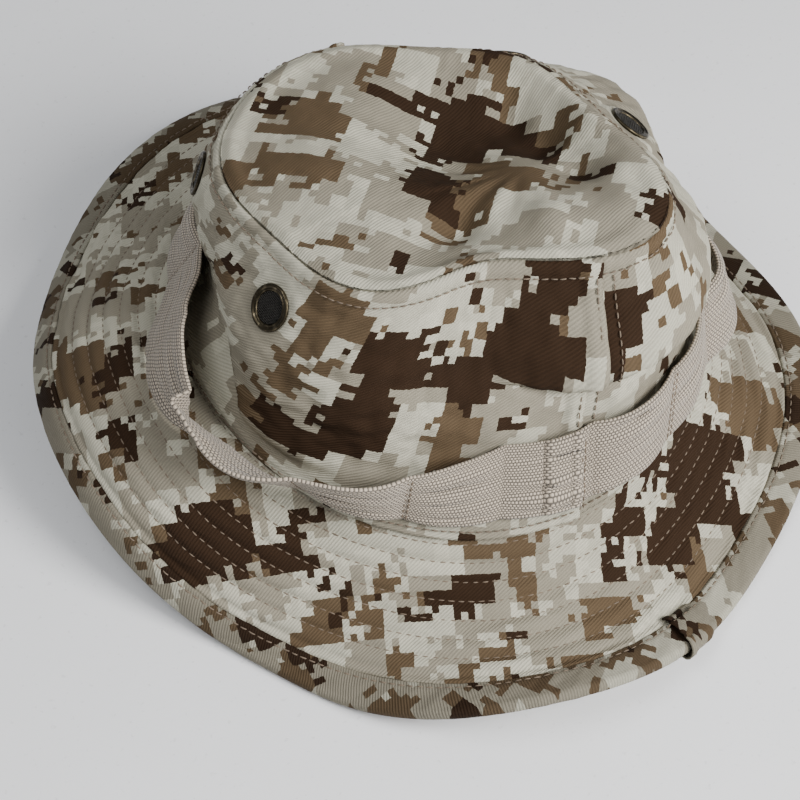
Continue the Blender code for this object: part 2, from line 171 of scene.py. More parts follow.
def wave(angle, mean, cos=(), sin=()):
    """A mean value plus cosines and sines of whole multiples of the angle."""
    total = mean + 0.0 * angle
    for order, size in enumerate(cos, 1):
        total = total + size * np.cos(order * angle)
    for order, size in enumerate(sin, 1):
        total = total + size * np.sin(order * angle)
    return total


def bell(value, width):
    """A smooth hump, one at zero and falling away over the width."""
    return np.exp(-(value / width) ** 2)


def step(value, low, high):
    """A smooth rise from zero at low to one at high."""
    share = np.clip((value - low) / (high - low), 0.0, 1.0)
    return share * share * (3 - 2 * share)


def turn_from(angle, middle):
    """Signed angle from a middle direction, wrapped to half a turn either way."""
    return (angle - middle + math.pi) % FULL_TURN - math.pi


def degrees_from(angle, degrees):
    """Signed turn in degrees from a direction given in degrees."""
    return np.degrees(turn_from(angle, np.radians(degrees)))


def unit(vectors):
    """Vectors brought to length one."""
    return vectors / np.linalg.norm(vectors, axis=-1)[..., None]


def ripple(u, v, seed, octaves=4, pitch=0.03):
    """Seeded smooth noise: a sum of sines with random directions, halving in length and height."""
    draw = np.random.default_rng(seed)
    total = 0.0 * u + 0.0 * v
    weight = 1.0
    for octave in range(octaves):
        for _ in range(5):
            heading = draw.uniform(0, FULL_TURN)
            phase = draw.uniform(0, FULL_TURN)
            length = pitch * draw.uniform(0.75, 1.3) / 2 ** octave
            along = u * math.cos(heading) + v * math.sin(heading)
            total = total + weight * np.sin(FULL_TURN * along / length + phase)
        weight *= 0.5
    return total / 5


def settled(point):
    """Moves and leans a point from the hat's own oval to where it rests."""
    moved = point + np.array(SETTLE_MOVE)
    moved[..., 2] += point[..., 0] * SETTLE_LEAN[0] + point[..., 1] * SETTLE_LEAN[1]
    return moved


def head_seam(angle):
    """Points of the oval seam between crown and brim, and the level direction outwards there."""
    across = np.cos(angle) / HEAD_HALF_WIDTH
    along = np.sin(angle) / HEAD_HALF_LENGTH
    length = np.hypot(across, along)
    outward = np.stack([across / length, along / length, 0 * angle], axis=-1)
    seam = np.stack([HEAD_HALF_WIDTH * np.cos(angle), HEAD_HALF_LENGTH * np.sin(angle),
                     wave(angle, **HEAD_SEAM_HEIGHT)], axis=-1)
    return seam, outward


def brim_point(angle, distance):
    """The brim at a distance on the cloth: droop plus curl turns the cloth as it goes out."""
    seam, outward = head_seam(angle)
    out = 0.0 * angle * distance
    down = 0.0 * angle * distance
    for part in range(BRIM_STEPS):
        share = (part + 0.5) / BRIM_STEPS * distance / BRIM_WIDTH
        slope = wave(angle, **BRIM_DROOP) + share * wave(angle, **BRIM_CURL)
        out = out + np.cos(slope) * distance / BRIM_STEPS
        down = down + np.sin(slope) * distance / BRIM_STEPS
    point = seam + outward * out[..., None]
    point[..., 2] -= down
    point = settled(point)
    # Where the cloth reaches the surface it eases onto it instead of passing through
    over = point[..., 2] - REST_HEIGHT
    point[..., 2] = REST_HEIGHT + 0.5 * (over + np.sqrt(over * over + REST_EASE * REST_EASE))
    return point


def tip_seam(angle):
    """The seam between crown and tip, reached from a direction on the head opening."""
    turned = angle + wave(angle, **TIP_TWIST)
    radius = wave(turned, **TIP_RADIUS)
    x = TIP_CENTRE[0] + radius * np.cos(turned)
    y = TIP_CENTRE[1] + radius * np.sin(turned)
    return np.stack([x, y, wave(turned, **TIP_SEAM_HEIGHT)], axis=-1)


def crown_point(angle, up):
    """The crown side: a straight run from seam to seam, blown out by the cloth's slack."""
    low, outward = head_seam(angle)
    high = tip_seam(angle)
    run = np.linalg.norm(high - low, axis=-1)
    slack = np.maximum(CROWN_CLOTH_HEIGHT - run, 0.0)
    blown = wave(angle, **SLACK_TO_BULGE) * np.sqrt(0.375 * run * slack)
    bulge = blown * np.sin(math.pi * np.clip(up, 0.0, 1.0)) ** 0.8
    lift = np.array([0.0, 0.0, 1.0]) * (0.35 * bulge)[..., None]
    share = (up + 0.0 * angle)[..., None]
    return settled(low * (1 - share) + high * share + outward * bulge[..., None] + lift)


def sheet_normals(rows, closed):
    """Unit normals of a sheet of rows, from the cross product of its two directions."""
    if closed:
        round_step = np.roll(rows, -1, axis=1) - np.roll(rows, 1, axis=1)
    else:
        round_step = np.gradient(rows, axis=1)
    normals = np.cross(round_step, np.gradient(rows, axis=0))
    return normals / np.maximum(np.linalg.norm(normals, axis=-1), 1e-12)[..., None]


def corner_numbers(row_count, column_count):
    """The function that numbers a sheet's corners: its side first, then row and column."""
    def at(side, row, column):
        return (side * row_count + row) * column_count + column

    return at


def sheet_quads(row_count, column_count, closed):
    """Quads of both sides of a sheet and of its cut edges, as one array of corner numbers."""
    spans = column_count if closed else column_count - 1
    row, column = np.meshgrid(np.arange(row_count - 1), np.arange(spans), indexing="ij")
    following = (column + 1) % column_count
    at = corner_numbers(row_count, column_count)
    outer = np.stack([at(1, row, column), at(1, row, following),
                      at(1, row + 1, following), at(1, row + 1, column)], axis=-1)
    inner = outer[..., ::-1] - row_count * column_count
    span = np.arange(spans)
    after = (span + 1) % column_count
    zero, last = 0 * span, 0 * span + row_count - 1
    low = np.stack([at(0, zero, span), at(0, zero, after), at(1, zero, after), at(1, zero, span)], -1)
    high = np.stack([at(1, last, span), at(1, last, after), at(0, last, after), at(0, last, span)], -1)
    quads = [outer.reshape(-1, 4), inner.reshape(-1, 4), low, high]
    if not closed:
        r = np.arange(row_count - 1)
        first, end = 0 * r, 0 * r + column_count - 1
        quads.append(np.stack([at(0, r + 1, first), at(0, r, first), at(1, r, first),
                               at(1, r + 1, first)], -1))
        quads.append(np.stack([at(0, r, end), at(0, r + 1, end), at(1, r + 1, end),
                               at(1, r, end)], -1))
    return np.concatenate(quads)


def new_piece(name, points, quads, finish, slot=None, cloth=None):
    """One mesh piece that rides on the hat. A piece with a slot takes the place of the frame's
    node of its name; cloth holds the places of its points on the flat, cut cloth."""
    mesh = bpy.data.meshes.new(name)
    mesh.vertices.add(len(points))
    mesh.vertices.foreach_set("co", np.asarray(points, dtype=np.float32).ravel())
    sides = quads.shape[1]
    mesh.loops.add(quads.size)
    mesh.loops.foreach_set("vertex_index", quads.ravel().astype(np.int32))
    mesh.polygons.add(len(quads))
    mesh.polygons.foreach_set("loop_start", np.arange(len(quads), dtype=np.int32) * sides)
    mesh.update(calc_edges=True)
    mesh.shade_smooth()
    if cloth is not None:
        flat = mesh.attributes.new("cloth", "FLOAT_VECTOR", "POINT")
        places = np.zeros((len(points), 3), dtype=np.float32)
        places[:, :cloth.shape[-1]] = cloth
        flat.data.foreach_set("vector", places.ravel())
    mesh.materials.append(finish)
    piece = bpy.data.objects.new(f"hat_{name}", mesh)
    bpy.context.scene.collection.objects.link(piece)
    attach(piece, "root")
    if slot:
        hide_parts(name)
    return piece


def new_sheet(name, rows, inner, outer, cloth, closed, finish, slot):
    """Cloth as a closed piece between two offsets along the normals of its rows."""
    normals = sheet_normals(rows, closed)
    sides = [rows + normals * (offset + 0.0 * rows[..., 0])[..., None] for offset in (inner, outer)]
    points = np.concatenate([side.reshape(-1, 3) for side in sides])
    flat = np.concatenate([cloth.reshape(-1, cloth.shape[-1])] * 2)
    return new_piece(name, points, sheet_quads(rows.shape[0], rows.shape[1], closed),
                     finish, slot, flat)


# ------------------------------------------------------------ shader maths

class Value:
    """A number socket on which Python arithmetic adds Math nodes."""

    def __init__(self, shader, socket):
        self.shader = shader
        self.socket = socket

    def math(self, operation, *others):
        return self.shader.node("ShaderNodeMath", dict(operation=operation), self, *others)

    def __add__(self, other):
        return self.math("ADD", other)

    def __sub__(self, other):
        return self.math("SUBTRACT", other)

    def __mul__(self, other):
        return self.math("MULTIPLY", other)

    def as_factor(self, amount):
        """A noise about one half turned into a factor about one."""
        return (self - 0.5) * amount + 1.0

    def over(self, threshold, softness=0.0):
        """One where the value is over a threshold, with an optional soft edge."""
        if not softness:
            return self.math("GREATER_THAN", threshold)
        return self.shader.node("ShaderNodeMapRange", dict(interpolation_type="SMOOTHSTEP"), self,
                                threshold - softness, threshold + softness, 0.0, 1.0)


class Shader:
    """A material under construction."""

    def __init__(self, name, roughness, metallic=0.0):
        self.material = bpy.data.materials.new(name)
        self.material.use_nodes = True
        self.tree = self.material.node_tree
        self.surface = self.tree.nodes["Principled BSDF"]
        self.surface.inputs["Roughness"].default_value = roughness
        self.surface.inputs["Metallic"].default_value = metallic

    def put(self, socket, value):
        """Sets a socket to a number or colour, or links it."""
        if isinstance(value, Value):
            self.tree.links.new(value.socket, socket)
        elif isinstance(value, (tuple, list)) and len(socket.default_value) == 4:
            socket.default_value = (*value, 1.0) if len(value) == 3 else value
        else:
            socket.default_value = value

    def node(self, kind, settings, *inputs, output=0, **named):
        """Any node: its settings first, then its sockets by place or by name."""
        made = self.tree.nodes.new(kind)
        for key, value in settings.items():
            setattr(made, key, value)
        for place, value in enumerate(inputs):
            if value is not None:
                self.put(made.inputs[place], value)
        for key, value in named.items():
            self.put(made.inputs[key.replace("_", " ")], value)
        return Value(self, made.outputs[output])

    def cloth(self):
        """Places on the flat, cut cloth."""
        return self.node("ShaderNodeAttribute", dict(attribute_name="cloth"), output=1)

    def place(self):
        """Places in the hat's own space, for what has no flat cloth."""
        return self.node("ShaderNodeTexCoord", {}, output=3)

    def vector(self, operation, *inputs, output=0):
        return self.node("ShaderNodeVectorMath", dict(operation=operation), *inputs, output=output)

    def part(self, vector, axis):
        return self.node("ShaderNodeSeparateXYZ", {}, vector, output=axis)

    def noise(self, place, scale, detail=2.0, rough=0.5, output=0):
        return self.node("ShaderNodeTexNoise", dict(noise_dimensions="3D"), output=output,
                         Vector=place, Scale=scale, Detail=detail, Roughness=rough)

    def mix(self, share, low, high):
        made = self.tree.nodes.new("ShaderNodeMix")
        made.data_type = "RGBA"
        self.put(made.inputs[0], share)
        self.put(made.inputs[6], low)
        self.put(made.inputs[7], high)
        return Value(self, made.outputs[2])

    def shade(self, colour, factor):
        """A colour made lighter or darker by a number."""
        return self.vector("SCALE", colour, None, None, factor)

    def finish(self, colour, height=None, distance=0.0002, strength=1.0, roughness=None):
        """The material with its colour, and with a bump and a varying roughness if given."""
        self.put(self.surface.inputs["Base Color"], colour)
        if roughness is not None:
            self.put(self.surface.inputs["Roughness"], roughness)
        if height is not None:
            bump = self.node("ShaderNodeBump", {}, Height=height, Distance=distance, Strength=strength)
            self.put(self.surface.inputs["Normal"], bump)
        return self.material


TWILL_PITCH = 0.0010
TWILL_LEAN = 2.09


def twill(shader, place, pitch=TWILL_PITCH, lean=TWILL_LEAN):
    """The cloth's diagonal ribs: a sine across lines that lean on the grain."""
    along = shader.part(place, 0) * (FULL_TURN * math.cos(lean) / pitch)
    across = shader.part(place, 1) * (FULL_TURN * math.sin(lean) / pitch)
    return (along + across).math("SINE")


PRINT_WANDER = 0.0009


def camouflage(name, offset, turn, blots, twill_lean=TWILL_LEAN, darker=1.0, bias=(0, 0, 0)):
    """Square-printed camouflage twill. Noise is read once per printed square, so that every
    patch has stepped edges. Blots are soft ovals that raise one colour's noise in a place, given
    by colour as place across, place along, half width, half height and strength."""
    colours = bpy.context.scene.hat_colours
    square = bpy.context.scene.hat_sizes.square
    shader = Shader(name, 0.88)
    flat = shader.cloth()
    # Printed edges wander a little with the weave
    wander = shader.vector("SUBTRACT", shader.noise(flat, 900.0, 1.0, output=1), (0.5, 0.5, 0.5))
    wander = shader.vector("MULTIPLY", wander, (PRINT_WANDER, PRINT_WANDER, 0.0))
    moved = shader.vector("ADD", flat, wander)
    print_place = shader.node("ShaderNodeVectorRotate", dict(rotation_type="Z_AXIS"),
                              Vector=moved, Angle=turn)

    def snapped(side):
        cell = shader.vector("FLOOR", shader.vector("SCALE", print_place, None, None, 1 / side))
        middle = shader.vector("ADD", cell, (0.5, 0.5, 0.5))
        return shader.vector("SCALE", middle, None, None, side)

    coarse = snapped(square)
    fine = snapped(0.5 * square)
    unturned = shader.node("ShaderNodeVectorRotate", dict(rotation_type="Z_AXIS"),
                           Vector=coarse, Angle=-turn)

    def field(seed, scale, grain):
        shift = (offset + seed, 0.37 * seed, 0.0)
        large = shader.noise(shader.vector("ADD", coarse, shift), scale, 2.0, 0.62)
        small = shader.noise(shader.vector("ADD", fine, shift), 310.0, 0.0)
        return (large - 0.5) * 1.5 + 0.5 + (small - 0.5) * grain

    def blotted(value, kind):
        for x, y, width, height, size in blots.get(kind, ()):
            away = shader.vector("DIVIDE", shader.vector("SUBTRACT", unturned, (x, y, 0.0)),
                                 (width, height, 1.0))
            length = shader.vector("LENGTH", shader.vector("MULTIPLY", away, (1.0, 1.0, 0.0)), output=1)
            fall = shader.node("ShaderNodeMapRange", dict(interpolation_type="SMOOTHSTEP"), length,
                               0.0, 1.6, size, 0.0)
            value = value + fall
        return value

    taupe = blotted(field(11.3, 44.0, 0.22), "taupe").over(0.50 + bias[0])
    pale = field(23.9, 60.0, 0.25).over(0.56)
    tan = blotted(field(31.7, 40.0, 0.20), "tan").over(0.66 + bias[1])
    bark = blotted(field(47.1, 34.0, 0.18), "bark").over(0.69 + bias[2])

    bleached = tuple(1.12 * part for part in colours.stone)
    colour = shader.mix(pale, tuple(colours.stone), bleached)
    colour = shader.mix(taupe, colour, tuple(colours.taupe))
    colour = shader.mix(tan, colour, tuple(colours.tan))
    colour = shader.mix(bark, colour, tuple(colours.bark))
    ribs = twill(shader, flat, lean=twill_lean)
    fade = shader.noise(flat, 45.0, 3.0, 0.6)
    slub = shader.noise(flat, 2600.0, 1.0, 0.6)
    tone = (ribs * 0.10 + 1.0) * fade.as_factor(0.28) * slub.as_factor(0.44)
    colour = shader.shade(colour, tone * darker)
    height = ribs * 0.7 + slub * 0.8 + fade * 3.0
    # Washed cotton hardly shines, so the dark squares stay dark
    shader.surface.inputs["Specular IOR Level"].default_value = 0.14
    return shader.finish(colour, height, distance=0.00011, strength=0.9)


RIB_PITCH = 0.00092
PICK_PITCH = 0.00120


def woven_tape(name):
    """Coarse webbing: fat ribs along the tape, crossed by yarns that alternate from rib to rib."""
    colours = bpy.context.scene.hat_colours
    shader = Shader(name, 0.62)
    flat = shader.cloth()
    u = shader.part(flat, 0)
    v = shader.part(flat, 1)
    rib = v * (1 / RIB_PITCH)
    alternate = rib.math("FLOOR").math("MODULO", 2.0) * 0.5
    pick = u * (1 / PICK_PITCH) + alternate
    knuckle = (pick * math.pi).math("SINE").math("ABSOLUTE")
    ridge = (rib * math.pi).math("SINE").math("ABSOLUTE")
    rise = knuckle * ridge
    fray = shader.noise(flat, 3200.0, 2.0, 0.7)
    shadow = (rise + (fray - 0.5) * 0.6).over(0.42, 0.34)
    dark = tuple(0.16 * part for part in colours.webbing)
    colour = shader.mix(shadow, dark, tuple(colours.webbing))
    fade = shader.noise(flat, 60.0, 2.0)
    colour = shader.shade(colour, fade.as_factor(0.25))
    shader.surface.inputs["Sheen Weight"].default_value = 0.2
    return shader.finish(colour, rise + fray * 0.3, distance=0.00028, strength=1.0)


def plain_cloth(name, colour, pitch=0.0006):
    """Plain tan or white cotton with fine crossing yarns."""
    shader = Shader(name, 0.9)
    flat = shader.cloth()
    yarns = twill(shader, flat, pitch, 0.0) * twill(shader, flat, pitch, 0.5 * math.pi)
    fade = shader.noise(flat, 70.0, 3.0, 0.6)
    tone = (yarns * 0.06 + 1.0) * fade.as_factor(0.2)
    return shader.finish(shader.shade(colour, tone), yarns + fade, distance=0.00008)


def thread_finish():
    """Twisted sewing thread, a little uneven in colour."""
    colours = bpy.context.scene.hat_colours
    shader = Shader("sewing_thread", 0.7)
    place = shader.place()
    fade = shader.noise(place, 120.0, 2.0)
    painted = shader.shade(tuple(colours.thread), fade * 1.1 + 0.45)
    return shader.finish(painted, shader.noise(place, 5000.0), distance=0.00005)


def brass_finish():
    """Dark antiqued brass, rubbed brighter in patches."""
    shader = Shader("antique_brass", 0.38, 1.0)
    place = shader.place()
    worn = shader.noise(place, 420.0, 4.0, 0.65).over(0.58, 0.10)
    colour = shader.mix(worn, (0.050, 0.041, 0.026), (0.17, 0.14, 0.090))
    rough = worn * -0.12 + 0.42
    return shader.finish(colour, shader.noise(place, 1500.0, 3.0), distance=0.00004, roughness=rough)


def screen_finish():
    """Blackened wire."""
    shader = Shader("vent_wire", 0.5, 0.6)
    place = shader.place()
    fade = shader.noise(place, 900.0, 2.0)
    colour = shader.mix(fade, (0.012, 0.011, 0.010), (0.05, 0.046, 0.04))
    return shader.finish(colour)


# ------------------------------------------------------------ printed patches placed one by one

SIDE_BLOTS = dict(taupe=((0.290, 0.030, 0.024, 0.018, 0.16),),
                  tan=((0.288, 0.050, 0.014, 0.012, 0.26), (0.345, 0.040, 0.012, 0.008, 0.22)),
                  bark=((0.320, 0.058, 0.015, 0.022, 0.34), (0.346, 0.060, 0.016, 0.012, 0.32),
                        (0.372, 0.064, 0.016, 0.012, 0.32), (0.318, 0.036, 0.018, 0.010, 0.34)))
SIDE_RIGHT_BLOTS = dict(tan=((-0.092, 0.066, 0.010, 0.010, 0.26),),
                        bark=((-0.124, 0.066, 0.006, 0.018, 0.34), (-0.075, 0.078, 0.008, 0.008, 0.28)))
BRIM_BLOTS = dict(taupe=((-0.020, -0.125, 0.020, 0.016, 0.14),),
                  tan=((-0.054, -0.130, 0.013, 0.014, 0.34), (0.100, -0.087, 0.012, 0.020, 0.34),
                       (-0.130, 0.010, 0.014, 0.022, 0.28), (0.112, -0.038, 0.016, 0.013, 0.26)),
                  bark=((0.030, -0.112, 0.026, 0.020, 0.36), (0.064, -0.100, 0.022, 0.020, 0.32),
                        (-0.118, -0.058, 0.018, 0.022, 0.34), (-0.045, -0.100, 0.010, 0.006, 0.28),
                        (-0.128, -0.010, 0.010, 0.010, 0.26), (0.124, -0.012, 0.010, 0.012, 0.26)))
TIP_BLOTS = dict(tan=((-0.020, 0.046, 0.022, 0.014, 0.32), (0.002, -0.016, 0.014, 0.012, 0.32),
                      (-0.040, 0.020, 0.012, 0.014, 0.32), (0.004, 0.060, 0.010, 0.008, 0.26)),
                 bark=((0.018, 0.032, 0.021, 0.018, 0.36), (0.041, 0.010, 0.008, 0.014, 0.32),
                       (0.052, -0.022, 0.007, 0.005, 0.30)))


# ------------------------------------------------------------ soft shape of this hat

# Slumps of the crown side: direction in degrees, height, half widths, and how far the cloth sinks in
SIDE_HOLLOWS = ((168, 0.34, 26, 0.24, 0.0085), (262, 0.30, 34, 0.17, 0.0030),
                (140, 0.22, 26, 0.20, 0.0060), (-6, 0.24, 32, 0.22, 0.0125),
                (40, 0.40, 30, 0.25, 0.0040), (96, 0.40, 26, 0.24, 0.0045))
# Plump places: the same, outwards
SIDE_SWELLS = ((205, 0.55, 22, 0.30, 0.0030), (278, 0.64, 34, 0.14, 0.0032),
               (232, 0.52, 20, 0.22, 0.0012), (322, 0.66, 26, 0.20, 0.0040), (12, 0.57, 24, 0.15, 0.0130))
# The crease at the back: direction in degrees, height and its climb per degree, then how far the
# cloth above stands out, how far the cloth below sinks in, and how far the fold sags
CREASE_MIDDLE = 281
CREASE_HEIGHT = 0.62
CREASE_CLIMB = 0.0012
CREASE_OUT = 0.0056
CREASE_IN = 0.0045
CREASE_SAG = 0.0058
# The upright fold at the left: its foot in degrees, how far it leans back as it goes up, then how
# far the cloth past it stands out, how far the cloth before it sinks in, and how far its lip laps
FOLD_FOOT = 204
FOLD_LEAN = 52
FOLD_OUT = 0.0046
FOLD_IN = 0.0040
FOLD_LAP = 0.0034
# Plan places on the tip: across, along, height, radius
TIP_PUSHES = ((0.018, 0.022, -0.016, 0.026), (-0.008, -0.022, -0.006, 0.014),
              (0.044, 0.006, -0.0100, 0.011), (0.045, -0.014, -0.0085, 0.010),
              (0.040, 0.024, -0.0080, 0.010), (-0.001, -0.021, -0.0045, 0.007),
              (0.057, 0.006, 0.0042, 0.008), (0.061, -0.022, 0.0030, 0.009),
              (-0.036, 0.016, 0.0045, 0.022), (0.024, -0.037, 0.0040, 0.012),
              (0.046, -0.042, 0.0042, 0.010), (-0.012, 0.050, 0.0020, 0.016))
TIP_RISE = 0.003
TIP_DEEPEST = (0.030, -0.004)


def slumps(angle, up):
    """Hollows and plump places: soft ovals that move the side cloth in or out."""
    out = 0.0 * up
    for sign, places in ((-1, SIDE_HOLLOWS), (1, SIDE_SWELLS)):
        for degrees, height, wide, tall, size in places:
            out = out + sign * size * bell(degrees_from(angle, degrees), wide) * bell(up - height, tall)
    return out


def crease(angle, up):
    """The nearly level crease at the back: above it the cloth overhangs, and its edge sags."""
    turn = degrees_from(angle, CREASE_MIDDLE)
    along = step(turn, -34, -12) * step(-turn, -62, -30)
    over = up - (CREASE_HEIGHT + CREASE_CLIMB * turn)
    above = step(over, -0.012, 0.030)
    out = along * (CREASE_OUT * above * (1 - step(over, 0.05, 0.36))
                   - CREASE_IN * (1 - above) * bell(over, 0.16))
    return out, along * CREASE_SAG * bell(over - 0.020, 0.030)


def left_fold(angle, up):
    """The upright fold at the left: its edge stands out and laps over the cloth before it."""
    past = degrees_from(angle, FOLD_FOOT - FOLD_LEAN * np.clip(up, 0.0, 0.85) ** 1.35)
    held = step(up, 0.10, 0.24) * step(0.86 - up, 0.0, 0.22)
    raised = step(past, -1.2, 1.6)
    out = held * (FOLD_OUT * raised * (1 - step(past, 4, 26)) - FOLD_IN * (1 - raised) * bell(past, 16))
    return out, held * FOLD_LAP * bell(past - 2.2, 2.6)


def crown_surface(angle, up):
    """The crown side with its slumps, its crease and its fold, all fading out at both seams."""
    point = crown_point(angle, up)
    _, outward = head_seam(angle)
    up = up + 0.0 * angle
    soft = step(up, 0.0, 0.22) * step(1 - up, 0.0, 0.12)
    crease_out, sag = crease(angle, up)
    fold_out, lap = left_fold(angle, up)
    out = slumps(angle, up) + crease_out + fold_out
    around = np.stack([-np.sin(angle), np.cos(angle), 0 * angle], axis=-1)
    point = point + outward * (out * soft)[..., None] - around * (lap * soft)[..., None]
    point[..., 2] -= sag * soft
    return point


def side_relief(angle, up):
    """Small relief of the side cloth, outwards: wrinkles, seam puckers and stitch grooves."""
    depth = bpy.context.scene.hat_sizes.wrinkle
    u = angle * WRINKLE_RADIUS
    v = up * CROWN_CLOTH_HEIGHT
    free = step(up, 0.04, 0.30) * step(1 - up, 0.02, 0.15)
    # Long slanting drags, then short soft crumples
    wrinkles = 0.75 * ripple(0.55 * u + 0.30 * v, 1.25 * v - 0.20 * u, 21, 3, 0.034) * free
    wrinkles = wrinkles + 0.30 * ripple(u, v, 22, 3, 0.011) * (0.35 + 0.65 * free)
    below_tip = CROWN_CLOTH_HEIGHT - v
    pucker = ripple(u, 0.12 * v, 23, 2, 0.0075)
    near_tip = 0.30 * pucker * bell(below_tip - 0.005, 0.005)
    groove = -0.32 * bell(below_tip - TIP_STITCH, 0.0008) + 0.28 * bell(below_tip - 0.0026, 0.0016)
    lip = 0.55 * (1 - step(v, 0.0045, 0.0058)) - 0.25 * bell(v - SEAM_STITCH, 0.0007)
    # Puckers run across the felled seams
    seams = 0.0 * u
    for seam, side in FELLED_SEAMS:
        beside = turn_from(angle, seam) * HEAD_HALF_LENGTH * side
        ripples = ripple(0.15 * u, v, 24, 2, 0.0085)
        seams = seams + 0.34 * ripples * bell(beside - 0.002, 0.0085) * step(up, 0.02, 0.1)
        seams = seams + 0.42 * bell(beside - 0.0040, 0.0030)
        for row in FELL_ROWS:
            seams = seams - 0.34 * bell(beside - row, 0.0008)
    return depth * wrinkles + 0.001 * (near_tip + groove + lip + seams)


def tip_surface(angle, share):
    """The tip from its middle to its seam: a low rise, pushed in and out, rolled at the seam."""
    seam = tip_seam(angle)
    middle = np.array([*TIP_CENTRE, TIP_SEAM_HEIGHT["mean"]])
    share = share + 0.0 * angle
    point = middle + (seam - middle) * share[..., None]
    x, y = point[..., 0].copy(), point[..., 1].copy()
    lift = TIP_RISE * (1 - share ** 2)
    for across, along, height, radius in TIP_PUSHES:
        lift = lift + height * bell(np.hypot(x - across, y - along), radius) * (1 - share ** 8)
    # Wrinkles fan out from the deep hollow towards the seam
    heading = np.arctan2(y - TIP_DEEPEST[1], x - TIP_DEEPEST[0])
    reach = np.hypot(x - TIP_DEEPEST[0], y - TIP_DEEPEST[1])
    fan = ripple(heading * 0.03, reach * 0.20, 31, 2, 0.021)
    lift = lift + 0.0017 * fan * step(reach, 0.004, 0.022) * (1 - share ** 6)
    lift = lift + 0.00045 * ripple(x, y, 32, 3, 0.013) * (1 - share ** 12)
    edge = (1 - share) * TIP_REACH
    lift = lift + 0.0016 * bell(edge - 0.0035, 0.0030) + 0.0003 * bell(edge, 0.0012)
    lift = lift + 0.00030 * ripple(angle * TIP_REACH, 0.1 * edge, 33, 2, 0.008) * bell(edge - 0.004, 0.006)
    point[..., 2] += lift
    return settled(point)


def brim_relief(angle, distance):
    """The brim's top face: channels puffed between stitch rows, with small puckers at each row."""
    puff = bpy.context.scene.hat_sizes.quilt_puff
    place = (distance - FIRST_STITCH_ROW) / STITCH_ROW_PITCH
    inside = step(distance, 0.0, FIRST_STITCH_ROW) * (place < STITCH_ROWS + 0.4)
    channel = np.abs(np.sin(math.pi * place)) ** 0.7 * inside
    run = angle * (BRIM_RADIUS + distance)
    pucker = ripple(run, 2.2 * distance, 41, 3, 0.008)
    drag = ripple(run - 0.7 * distance, 0.5 * distance, 42, 2, 0.030)
    return puff * (channel * (1 + 0.45 * drag) + 0.34 * pucker * (0.45 + 0.55 * channel)
                   - 0.35 * (1 - channel) * inside) + 0.0006 * drag * step(distance, 0.003, 0.02)


# ------------------------------------------------------------ stitches

def even_places(path, normals, pitch, closed):
    """Centres, headings and normals at even steps of length along a path."""
    if closed:
        path = np.concatenate([path, path[:1]])
        normals = np.concatenate([normals, normals[:1]])
    lengths = np.concatenate([[0.0], np.cumsum(np.linalg.norm(np.diff(path, axis=0), axis=1))])
    count = max(int(lengths[-1] / pitch), 1)
    here = (np.arange(count) + 0.5) * lengths[-1] / count

    def at(values, where):
        return np.stack([np.interp(where, lengths, values[:, axis]) for axis in range(3)], axis=-1)

    heading = unit(at(path, here + 0.0004) - at(path, here - 0.0004))
    normal = at(normals, here)
    normal = unit(normal - heading * np.sum(normal * heading, axis=-1)[:, None])
    return at(path, here), heading, normal


def add_stitches(name, paths, length=STITCH_LENGTH, pitch=STITCH_STEP):
    """Short arched capsules of thread along paths; each path is points, normals and closed."""
    found = [even_places(points, normals, pitch, closed) for points, normals, closed in paths]
    centre, heading, normal = [np.concatenate(part) for part in zip(*found)]
    draw = np.random.default_rng(len(centre))
    side = np.cross(normal, heading)
    lean = draw.normal(0.0, 0.05, len(centre))[:, None]
    heading = heading + side * lean
    stretch = length * draw.uniform(0.92, 1.06, len(centre))
    # Five rings from end to end: the middle stands up and both ends dive into the cloth
    place = np.array([-0.5, -0.38, 0.0, 0.38, 0.5])
    thick = np.array([0.35, 0.9, 1.0, 0.9, 0.35]) * THREAD_RADIUS
    rise = np.array([-1.1, -0.1, 0.55, -0.1, -1.1]) * THREAD_RADIUS
    spin = np.arange(STITCH_SIDES) * FULL_TURN / STITCH_SIDES
    ring = (centre[:, None] + heading[:, None] * (stretch[:, None] * place)[..., None]
            + normal[:, None] * rise[None, :, None])
    spoke = (side[:, None, None] * (np.cos(spin) * thick[:, None])[None, ..., None]
             + normal[:, None, None] * (np.sin(spin) * thick[:, None])[None, ..., None])
    points = (ring[:, :, None] + spoke).reshape(-1, 3)
    along, around = np.meshgrid(np.arange(len(place) - 1), np.arange(STITCH_SIDES), indexing="ij")
    following = (around + 1) % STITCH_SIDES
    here, ahead = along * STITCH_SIDES, (along + 1) * STITCH_SIDES
    tube = np.stack([here + around, here + following, ahead + following, ahead + around],
                    axis=-1).reshape(-1, 4)
    first = np.array([[3, 2, 1, 0], [5, 4, 3, 0]])
    last = np.array([[0, 1, 2, 3], [0, 3, 4, 5]]) + (len(place) - 1) * STITCH_SIDES
    one = np.concatenate([tube, first, last])
    starts = np.arange(len(centre)) * len(place) * STITCH_SIDES
    quads = (one + starts[:, None, None]).reshape(-1, 4)
    new_piece(name, points, quads, thread_material())


def thread_material():
    """The one thread finish shared by every row of stitches."""
    return bpy.data.materials.get("sewing_thread") or thread_finish()


# ------------------------------------------------------------ crown

# Cloth is pressed flat out to the first distance from a vent's middle, and free past the second
VENT_PRESSED = (0.0086, 0.0125)
VENT_NEAR = 0.012
VENT_HOLE = 0.0062
SIDE_ROWS = 92
TIP_ROWS = 84
TIP_COLUMNS = 340
# How far up the side the tip's edge turns down inside, and where its face starts
TIP_TURNED = (1 - 0.07, 1 - 0.03)
TIP_TUCK = 0.9885


